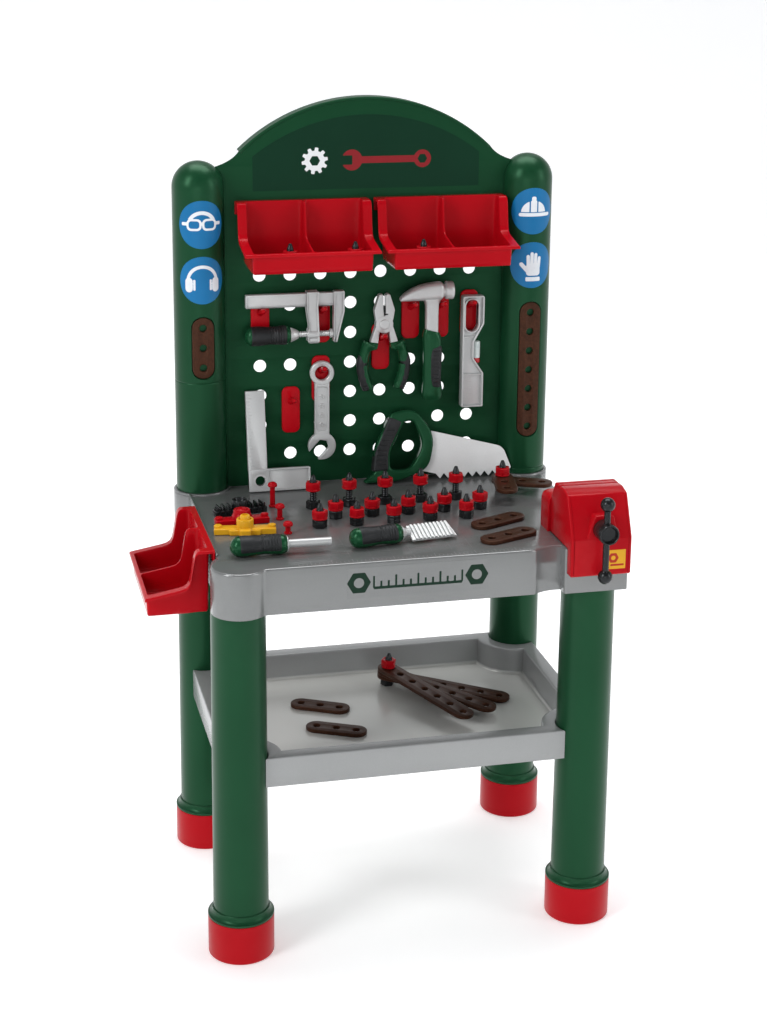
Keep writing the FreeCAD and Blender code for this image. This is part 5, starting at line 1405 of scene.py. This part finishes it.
def make_pliers():
    """Two lapped halves. A half's jaw and shank are flat plates; its handle is a bowed loft
    with a soft insert along the outside."""
    y = BOARD_Y - 12.0
    x = column_x(4) + 2.0
    z = arm_top(row_z(4), 17.0) + 0.3 + 12.0
    jaw = [(0.6, 9.5, 0.5), (1.6, 20, 0.4), (1.6, 39, 1), (6.5, 42, 3), (13.8, 19, 6), (11.7, 6, 3),
           (8, 0, 0), (0.6, 3, 0)]
    shank = [(-11, -1, 3), (-19, -25, 1), (-9, -29, 1), (-6.4, -10.5, 0.5), (-1, -5, 0), (-5, 1, 0)]

    def at(points, mirror):
        return [(x + mirror * u, z + v, r) for u, v, r in points]

    for name, mirror, disc_near, disc_far in (("front", 1, y - 5.3, y - 0.15),
                                              ("rear", -1, y + 0.15, y + 5.3)):
        body = "pliers_" + name + "_half"
        solids = [front_plate(outline(at(jaw, mirror)), y - 5.0, y + 5.0, 0.8),
                  front_plate(outline(at(shank, mirror)), y - 5.0, y + 5.0, 0.8),
                  front_plate(circle(x, z, 11.6, 48), disc_near, disc_far, 0.5)]
        if name == "front":
            # painted shade: two thin black plates on the front jaw stand for the shade inside its cutter slot
            slot = outline(box_corners(x - 0.9, x + 0.9, z + 12.5, z + 25.0, 0.8))
            foot = outline(box_corners(x - 0.9, x + 4.6, z + 12.5, z + 14.6, 0.8))
            slot_shade_plates = [front_plate(part_loop, y - 5.25, y - 4.2, 0.2) for part_loop in (slot, foot)]
            piece("pliers_cutter_slot_painted_shade", slot_shade_plates, body, black)
            ring = turned([(0, y - 6.3), (5.6, y - 6.3), (6.4, y - 6.1), (7.0, y - 5.4),
                           (7.2, y - 4.6), (0, y - 4.6)], 40, "y", (x, 0, z))
            solids.append(ring)
        piece("pliers_" + name + "_steel", solids, body, tool_silver, ["pliers_" + name])
        path = np.array([(-17.5, -25), (-23.0, -31), (-27.0, -42), (-27.8, -55), (-26.0, -68),
                         (-21.8, -80), (-19.6, -85.5), (-18.6, -88.0)])
        s = np.sin(np.linspace(0, math.pi / 2, 34))
        keys = np.linspace(0, 1, len(path))
        u = np.interp(s, keys, path[:, 0])
        v = np.interp(s, keys, path[:, 1])
        u = np.convolve(np.pad(u, 2, mode="edge"), np.ones(5) / 5, "valid")
        size = np.interp(s, [0, 0.06, 0.2, 0.5, 0.8, 1.0], [9.6, 9.8, 7.2, 7.0, 7.1, 6.4])
        size = size * np.sqrt(np.clip(1.002 - np.clip((s - 0.93) / 0.07, 0, 1) ** 2, 0, 1))
        line = np.stack([x + mirror * u, np.full(34, y), z + v], 1)
        handle = swept(line, size, 28, 0.95)
        guard_loop = outline(at([(-8, -24.5, 1.5), (-27, -21.5, 1.5), (-27, -26, 1.5),
                                 (-21, -35, 3), (-9.5, -33, 3)], mirror))
        guard = front_plate(guard_loop, y - 6.6, y + 6.6, 1.6)
        piece("pliers_" + name + "_green_handle", [handle, guard], body, handle_green,
              ["pliers_handle_" + name])
        part = slice(5, 31)
        pad_line = line[part] + np.array([-mirror * 2.4, 0, 0])
        ribs = 0.4 * np.sin(np.linspace(0, 18 * math.pi, 26))
        pad_size = size[part] * 0.93 + np.clip(ribs, -0.3, 0.3)
        pad_size[:4] *= [0.3, 0.7, 0.9, 0.97]
        pad_size[-4:] *= [0.97, 0.9, 0.72, 0.4]
        pad = swept(pad_line, pad_size, 28, 1.12)
        piece("pliers_" + name + "_black_insert", [pad], body, grip,
              ["pliers_grip_" + name])


def make_hammer():
    """Head: stations across x, each an ellipse-like ring whose height and depth shrink to a
    blunt wedge at the left; the face is turned about x."""
    y = BOARD_Y - 16.5
    x = 85.5
    low = arm_top(row_z(5), 25.5) + 0.3
    stations = np.array([(-43.0, 0.6, 3.4, 4.6), (-42.0, 0.2, 5.6, 6.0), (-36.0, 0.0, 11.0, 7.4),
                         (-28.0, 0.0, 15.8, 8.4), (-18.0, 0.0, 19.8, 9.0), (-8.0, 0.0, 22.4, 9.2),
                         (3.0, 0.0, 23.8, 9.2), (11.0, 0.4, 24.0, 9.0), (13.5, 2.0, 22.4, 8.0)])
    s = np.linspace(stations[0, 0], stations[-1, 0], 48)
    base, top, deep = [np.interp(s, stations[:, 0], stations[:, k]) for k in (1, 2, 3)]
    t = np.arange(40) * 2 * math.pi / 40
    c, n = np.cos(t), np.sin(t)
    power = 3.2
    shape = (np.abs(c) ** power + np.abs(n) ** power) ** (-1 / power)
    rings = np.stack([np.broadcast_to((x + s)[:, None], (48, 40)), y + deep[:, None] * shape * c,
                      low + (base + top)[:, None] / 2 + (top - base)[:, None] / 2 * shape * n], -1)
    centre = low + 12.3
    face = turned([(0, x + 12.5), (8.6, x + 12.5), (8.6, x + 16.5), (10.6, x + 17.2),
                   (11.6, x + 18.2), (12.0, x + 19.4), (12.0, x + 26.6), (11.4, x + 27.7),
                   (10.2, x + 28.0), (9.6, x + 27.4), (0, x + 27.4)], 56, "x", (0, y, centre))
    neck = lofted([(x, y, low - 62, 8.3, 5.9), (x, y, low - 20, 8.3, 5.9), (x, y, low - 6, 8.6, 6.2),
                   (x, y, low + 2, 11.5, 7.6)], 36, 5.0)
    piece("hammer_silver_head", [skin(rings), face, neck], "hammer", tool_silver, ["hammer_head"])
    end = low - 133.0
    stem = lofted([(x + 1.5, y - 0.5, end, 11.5, 7.6), (x + 1.5, y - 0.5, end + 2.5, 14.2, 9.2),
                   (x + 1.5, y - 0.5, end + 11, 13.8, 9.4), (x + 0.8, y - 0.5, end + 26, 12.0, 9.0),
                   (x + 0.6, y - 0.5, end + 50, 11.9, 9.2), (x + 0.6, y - 0.5, end + 76, 12.6, 9.3),
                   (x + 0.4, y - 0.5, low - 50, 13.2, 9.3), (x + 0.2, y - 0.5, low - 44.0, 11.8, 8.6),
                   (x, y - 0.5, low - 40.5, 9.6, 7.0)], 44, 2.7)
    points, faces = stem
    slant = np.clip((points[:, 2] - (low - 60)) / 20, 0, 1)
    points[:, 2] += slant * (points[:, 0] - x) * -0.28
    piece("hammer_green_handle", [(points, faces)], "hammer", handle_green, ["hammer_handle"])
    pad = lofted([(x + 5.2, y - 2.6, end + 13, 3.5, 4.0), (x + 4.8, y - 2.6, end + 17, 7.6, 7.5),
                  (x + 4.0, y - 2.6, end + 34, 8.4, 8.1), (x + 4.2, y - 2.6, end + 60, 8.7, 8.2),
                  (x + 5.2, y - 2.6, low - 64, 8.4, 8.0), (x + 5.6, y - 2.6, low - 57, 4.6, 4.2)], 36, 3.4)
    ribs = []
    for k in range(9):
        rib_z = end + 24 + k * 5.2
        ends = (x - 0.5, y - 10.4, rib_z), (x + 9.0, y - 10.4, rib_z)
        ribs.append(rod_with_round_ends(*ends, 0.75, 0.7, 10))
    piece("hammer_black_insert", [pad] + ribs, "hammer", grip, ["hammer_grip"])


def make_level():
    """A web inside a raised rim, with a round-ended window, a notch and a tube across it."""
    rear = BOARD_Y - 4.4
    front = rear - 14.0
    x0, x1 = 127.8, 157.2
    window_top = arm_top(row_z(5), BOARD_Y - front) + 0.3
    top = window_top + 5.0
    low = top - 151.0
    notch = x1 - 13.5
    loop = outline([(x0, low, 2), (x1, low, 2), (x1, top - 105, 5), (notch, top - 85, 4),
                    (notch, top - 62, 4), (x1, top - 38, 5), (x1, top, 3), (x0, top, 3)])
    window = outline(box_corners(131.7, 149.3, window_top - 43.0, window_top, 8.75))
    web = front_plate(inset(loop, 1.2), front + 4.5, rear - 3.0, 0.3, [window])
    rim = front_plate(loop, front, rear, 0.7, [inset(loop, 2.3)])
    collar = front_plate(inset(window, -2.0), front + 0.4, rear - 0.4, 0.6, [window])
    ribs = []
    for end, z in ((x1 - 1, top - 107.5), (notch, top - 56.0)):
        rib = outline(box_corners(x0 + 1, end, z, z + 1.8, 0.4))
        ribs.append(front_plate(rib, front + 0.6, rear - 1, 0.4))
    ticks = []
    for k in range(9):
        tick_z = low + 12 + 3.2 * k
        length = 9 if k % 5 == 0 else 6
        tick = outline(box_corners(137, 137 + length, tick_z, tick_z + 0.9, 0.2))
        ticks.append(front_plate(tick, front + 4.0, front + 5.0, 0.2))
    piece("level_frame", [web, rim, collar] + ribs + ticks, "spirit_level", tool_silver,
          ["level_body"])
    vial_x, vial_y = notch + 5.0, front + 7.0
    r = Recipe("vial fluid", (0.55, 0.62, 0.60), 0.08, coat=0.6)
    height = r.node("ShaderNodeSeparateXYZ", {0: r.place}).outputs[2]
    red_end = r.maths("LESS_THAN", height, (top - 84.5) * MM)
    streak = r.mixed(r.noise(160.0, 2.0), (0.42, 0.50, 0.50), (0.66, 0.70, 0.68))
    r.join(r.mixed(red_end, streak, RED), "Base Color")
    r.join(r.ranged(r.noise(220.0, 2.0), 0.3, 0.7, 0.05, 0.14), "Roughness")
    vial = rod_with_round_ends((vial_x, vial_y, top - 91.5), (vial_x, vial_y, top - 62.0), 4.9, 1.6, 36)
    bands = [turned([(4.7, a), (5.05, a), (5.05, a + 0.9), (4.7, a + 0.9), (4.7, a)], 36, "z",
                    (vial_x, vial_y, 0)) for a in (top - 78.5, top - 70.5)]
    piece("level_tube", [vial] + bands, "spirit_level", r.material, ["level_vial"])


def make_wrench():
    """A turned eye, a shank with a sunk panel, and a round jaw with a six-sided mouth."""
    front, rear = BOARD_Y - 13.0, BOARD_Y - 6.0
    x = column_x(2)
    z = arm_top(row_z(3), 13.0) + 0.3 - 9.5
    jaw_z = z - 99.0
    eye_ring = turned([(9.5, front + 0.8), (10.3, front), (15.0, front), (16.0, front + 1.0),
                       (16.0, rear - 1.0), (15.0, rear), (10.3, rear), (9.5, rear - 0.8),
                       (9.5, front + 0.8)], 64, "y", (x, 0, z))
    shank_loop = outline(box_corners(x - 9.8, x + 9.8, jaw_z + 8, z - 11.5, 0.5))
    shank = front_plate(shank_loop, front + 2.2, rear - 1, 0.8)
    panel = outline(box_corners(x - 7.6, x + 7.6, jaw_z + 21, z - 19, 4))
    field = outline(box_corners(x - 9.8, x + 9.8, jaw_z + 12, z - 13, 0.5))
    border = front_plate(field, front + 0.5, front + 3.0, 0.7, [panel])
    studs = []
    for k in range(4):
        stud_z = z - 32 - 12.5 * k
        hole = circle(x, stud_z, 1.7, 16)
        studs.append(front_plate(six_loop(x, stud_z, 3.8), front + 0.9, front + 3.0, 0.4, [hole]))
    turn = math.radians(48)
    angles = np.radians(np.linspace(26.8, 333.2, 56)) + math.pi
    rim = np.stack([18.4 * np.cos(angles), 18.4 * np.sin(angles)], 1)
    mouth = np.array([(-4.8, 8.3), (4.7, 8.2), (9.4, 0), (4.7, -8.2), (-4.8, -8.3)])
    loop = np.concatenate([rim, mouth])
    spun = np.stack([loop[:, 0] * math.cos(turn) - loop[:, 1] * math.sin(turn) + x,
                     loop[:, 0] * math.sin(turn) + loop[:, 1] * math.cos(turn) + jaw_z], 1)
    corners = [(p[0], p[1], 0.0) for p in spun]
    head = front_plate(outline(corners), front, rear, 0.7)
    piece("wrench_shape", [eye_ring, shank, border, head] + studs, "spanner", tool_silver,
          ["wrench"])


def make_square():
    """Blade and stock standing on the bench and leaning back on the board."""
    foot = BOARD_Y - 26.5
    lean = math.degrees(math.asin((BOARD_Y - 0.3 - foot) / 132.0))
    x = -161.0
    eye_x, eye_z = x + 15, 14
    eye = circle(eye_x, eye_z, 6.5)
    blade = front_plate(outline(box_corners(x, x + 25, 0.1, 131.9, 1.2)), -7.5, -0.5, 0.6, [eye])
    stock_loop = outline(box_corners(x, x + 82, 0.0, 29.5, 2))
    well = outline(box_corners(x + 27.5, x + 79.5, 2.5, 27, 1.5))
    stock = front_plate(stock_loop, -8, 0, 0.8, [eye, well])
    floor = front_plate(outline(box_corners(x + 26, x + 81, 1.2, 28.2, 1.0)), -5.0, -0.6, 0.2)
    ticks = []
    for k in range(22):
        tick_z = 34 + 4.4 * k
        length = 7.5 if k % 5 == 0 else 5.0
        tick = outline(box_corners(x + 0.8, x + length, tick_z, tick_z + 0.9, 0.2))
        ticks.append(front_plate(tick, -8.2, -7.3, 0.15))
    ring = turned([(6.5, -8.4), (8.4, -8.4), (9.0, -7.8), (9.0, -7.0), (6.5, -7.0), (6.5, -8.4)],
                  40, "y", (eye_x, 0, eye_z))
    solids = [moved(s, (0, foot, BENCH_TOP + 0.1), turn_x=-lean) for s in [blade, stock, floor, ring] + ticks]
    piece("square_shape", solids, "square", tool_silver, ["try_square"])


def make_saw():
    """A closed handle and a toothed blade that stand on the bench and lean on the board."""
    lean = 11.0
    rise = 7.5 * math.sin(math.radians(lean))
    reach = 99 * math.sin(math.radians(lean)) + 7.5

    def leaning(solid):
        return moved(solid, (0, BOARD_Y - 0.3 - reach, BENCH_TOP + rise + 0.1), turn_x=-lean)

    outer = outline([(-10, 0.2, 2), (38, 0.2, 30), (82, 15, 22), (92, 60, 32), (64, 99, 22),
                     (33, 92, 6), (6, 42, 40), (8, 14, 8)], 6)
    inner = outline([(29, 17, 6), (56, 15, 16), (76, 46, 22), (62, 82, 9), (50, 79, 5),
                     (29, 40, 24)], 6)
    outer, inner = softened(outer, 2.5, 6), softened(inner, 2.5, 4)
    ring = leaning(front_plate(outer, -7.5, 7.5, 3.4, [inner], steps=5))
    piece("saw_green_handle", [ring], "saw", handle_green, ["saw_handle"])
    pad = [(4.5, 15, 3), (26.5, 16.0, 3), (27.0, 41, 20), (47.5, 80.0, 3), (30.5, 88, 4), (9.0, 43, 30)]
    sleeve = [leaning(front_plate(softened(outline(pad, 6), 2.5, 3), -8.3, 8.3, 2.8, steps=4))]
    for k in range(8):
        base = 24.0 + k * 6.4
        shift = max(0.0, base - 42) * 0.52
        rib = outline(box_corners(10.5 + shift, 23.5 + shift, base, base + 2.6, 1.2))
        sleeve.append(leaning(front_plate(rib, -8.9, 8.9, 0.7)))
    piece("saw_black_grip", sleeve, "saw", grip, ["saw_grip"])
    start, end, count = 193.0, 92.0, 9
    pitch = (start - end) / count
    teeth = []
    for k in range(count):
        root = start - k * pitch
        teeth += [(root, 7.5, 0.4), (root - pitch / 2, 0.8, 0.3)]
    blade_loop = outline([(84.5, 66, 0), (186, 39, 16), (199, 4, 3)] + teeth + [
        (92, 7.5, 0), (74, 12, 0), (80, 40, 0)])
    blade = leaning(front_plate(blade_loop, -1.5, 1.5, 0.4))
    piece("saw_silver_blade", [blade], "saw", saw_silver, ["saw_blade"])


# ---------------------------------------------------------------- floor, light and camera
def make_stage():
    """Floor: a flat disc whose rim curves up, rise = 5.5 * ((r - 4.2) / 4.8)^2, under five
    soft panel lights."""
    floor_mesh = bpy.data.meshes.new("floor")
    reach = np.concatenate([[0.001], np.linspace(0.4, 4.2, 20), np.linspace(4.3, 9.0, 30)])[:, None]
    around = (np.arange(96) * 2 * math.pi / 96)[None]
    rise = 5.5 * (np.clip(reach - 4.2, 0, 4.8) / 4.8) ** 2
    points = np.stack([reach * np.cos(around), reach * np.sin(around), rise + 0 * around], -1)
    faces = quads(51, 96, True)[:, ::-1].tolist() + [tuple(range(96))]
    floor_mesh.from_pydata(points.reshape(-1, 3).tolist(), [], faces)
    floor_mesh.polygons.foreach_set("use_smooth", np.ones(len(floor_mesh.polygons), bool))
    paper = Recipe("studio paper", (0.93, 0.93, 0.935), 0.75, specular=0.25)
    tone = paper.mixed(paper.noise(1.2, 2.0), (0.915, 0.918, 0.925), (0.945, 0.945, 0.95))
    paper.join(tone, "Base Color")
    paper.shader.inputs["Emission Color"].default_value = (1.0, 1.0, 1.0, 1.0)
    paper.shader.inputs["Emission Strength"].default_value = 0.32
    floor_mesh.materials.append(paper.material)
    floor = bpy.data.objects.new("floor", floor_mesh)
    bpy.context.scene.collection.objects.link(floor)
    for name, power, size, place, aim in (
            ("key", 74, (1.1, 2.2), (-2.9, -1.6, 2.6), (0, 0, 0.55)),
            ("fill", 30, (1.0, 2.4), (2.9, -1.9, 1.7), (0, 0, 0.5)),
            ("low", 11, (2.2, 0.7), (-0.9, -3.4, 0.75), (0, 0, 0.25)),
            ("top", 78, (2.6, 1.5), (0.2, 0.6, 3.3), (0, 0, 0.4)),
            ("rear", 70, (5.0, 2.0), (0.0, 2.4, 3.2), (0, 4.4, 0.5))):
        light = bpy.data.lights.new(name, "AREA")
        light.shape = "RECTANGLE"
        light.size, light.size_y = size
        light.energy = power
        lamp = bpy.data.objects.new(name, light)
        lamp.location = place
        lamp.rotation_euler = (Vector(aim) - Vector(place)).to_track_quat("-Z", "Y").to_euler()
        bpy.context.scene.collection.objects.link(lamp)
    world = bpy.data.worlds.new("studio")
    world.use_nodes = True
    world.node_tree.nodes["Background"].inputs[0].default_value = (0.93, 0.96, 1.0, 1)
    world.node_tree.nodes["Background"].inputs[1].default_value = 0.26
    bpy.context.scene.world = world
    bpy.context.scene.view_settings.view_transform = "Standard"
    bpy.context.scene.view_settings.exposure = -0.22


def make_camera():
    """Camera at the viewing angle: a heading from +y, a dip, and a small roll."""
    heading, dip, roll = math.radians(13.52), math.radians(-14.527), math.radians(0.542)
    level = math.cos(dip)
    forward = np.array([math.sin(heading) * level, math.cos(heading) * level, math.sin(dip)])
    right = np.cross(forward, [0, 0, 1])
    right /= np.linalg.norm(right)
    upward = np.cross(right, forward)
    right, upward = (math.cos(roll) * right + math.sin(roll) * upward,
                     -math.sin(roll) * right + math.cos(roll) * upward)
    lens = bpy.data.cameras.new("camera")
    lens.lens = 67.61
    lens.sensor_width = 36.0
    lens.shift_y = -0.129
    lens.clip_end = 50
    viewer = bpy.data.objects.new("camera", lens)
    place = (np.array([-550.6, -2256.5, 1279.2]) + MIDDLE) * MM
    turn = Matrix((right, upward, -forward)).transposed()
    viewer.matrix_world = Matrix.Translation(place) @ turn.to_4x4()
    bpy.context.scene.collection.objects.link(viewer)
    bpy.context.scene.camera = viewer


make_camera()
make_stage()
make_legs()
make_bench()
make_shelf()
make_posts()
make_board()
vise_film = make_prints()
make_bins()
make_hooks()
make_hardware()
make_wing_pieces()
make_vise(vise_film)
make_bench_tools()
make_clamp()
make_pliers()
make_hammer()
make_level()
make_wrench()
make_square()
make_saw()
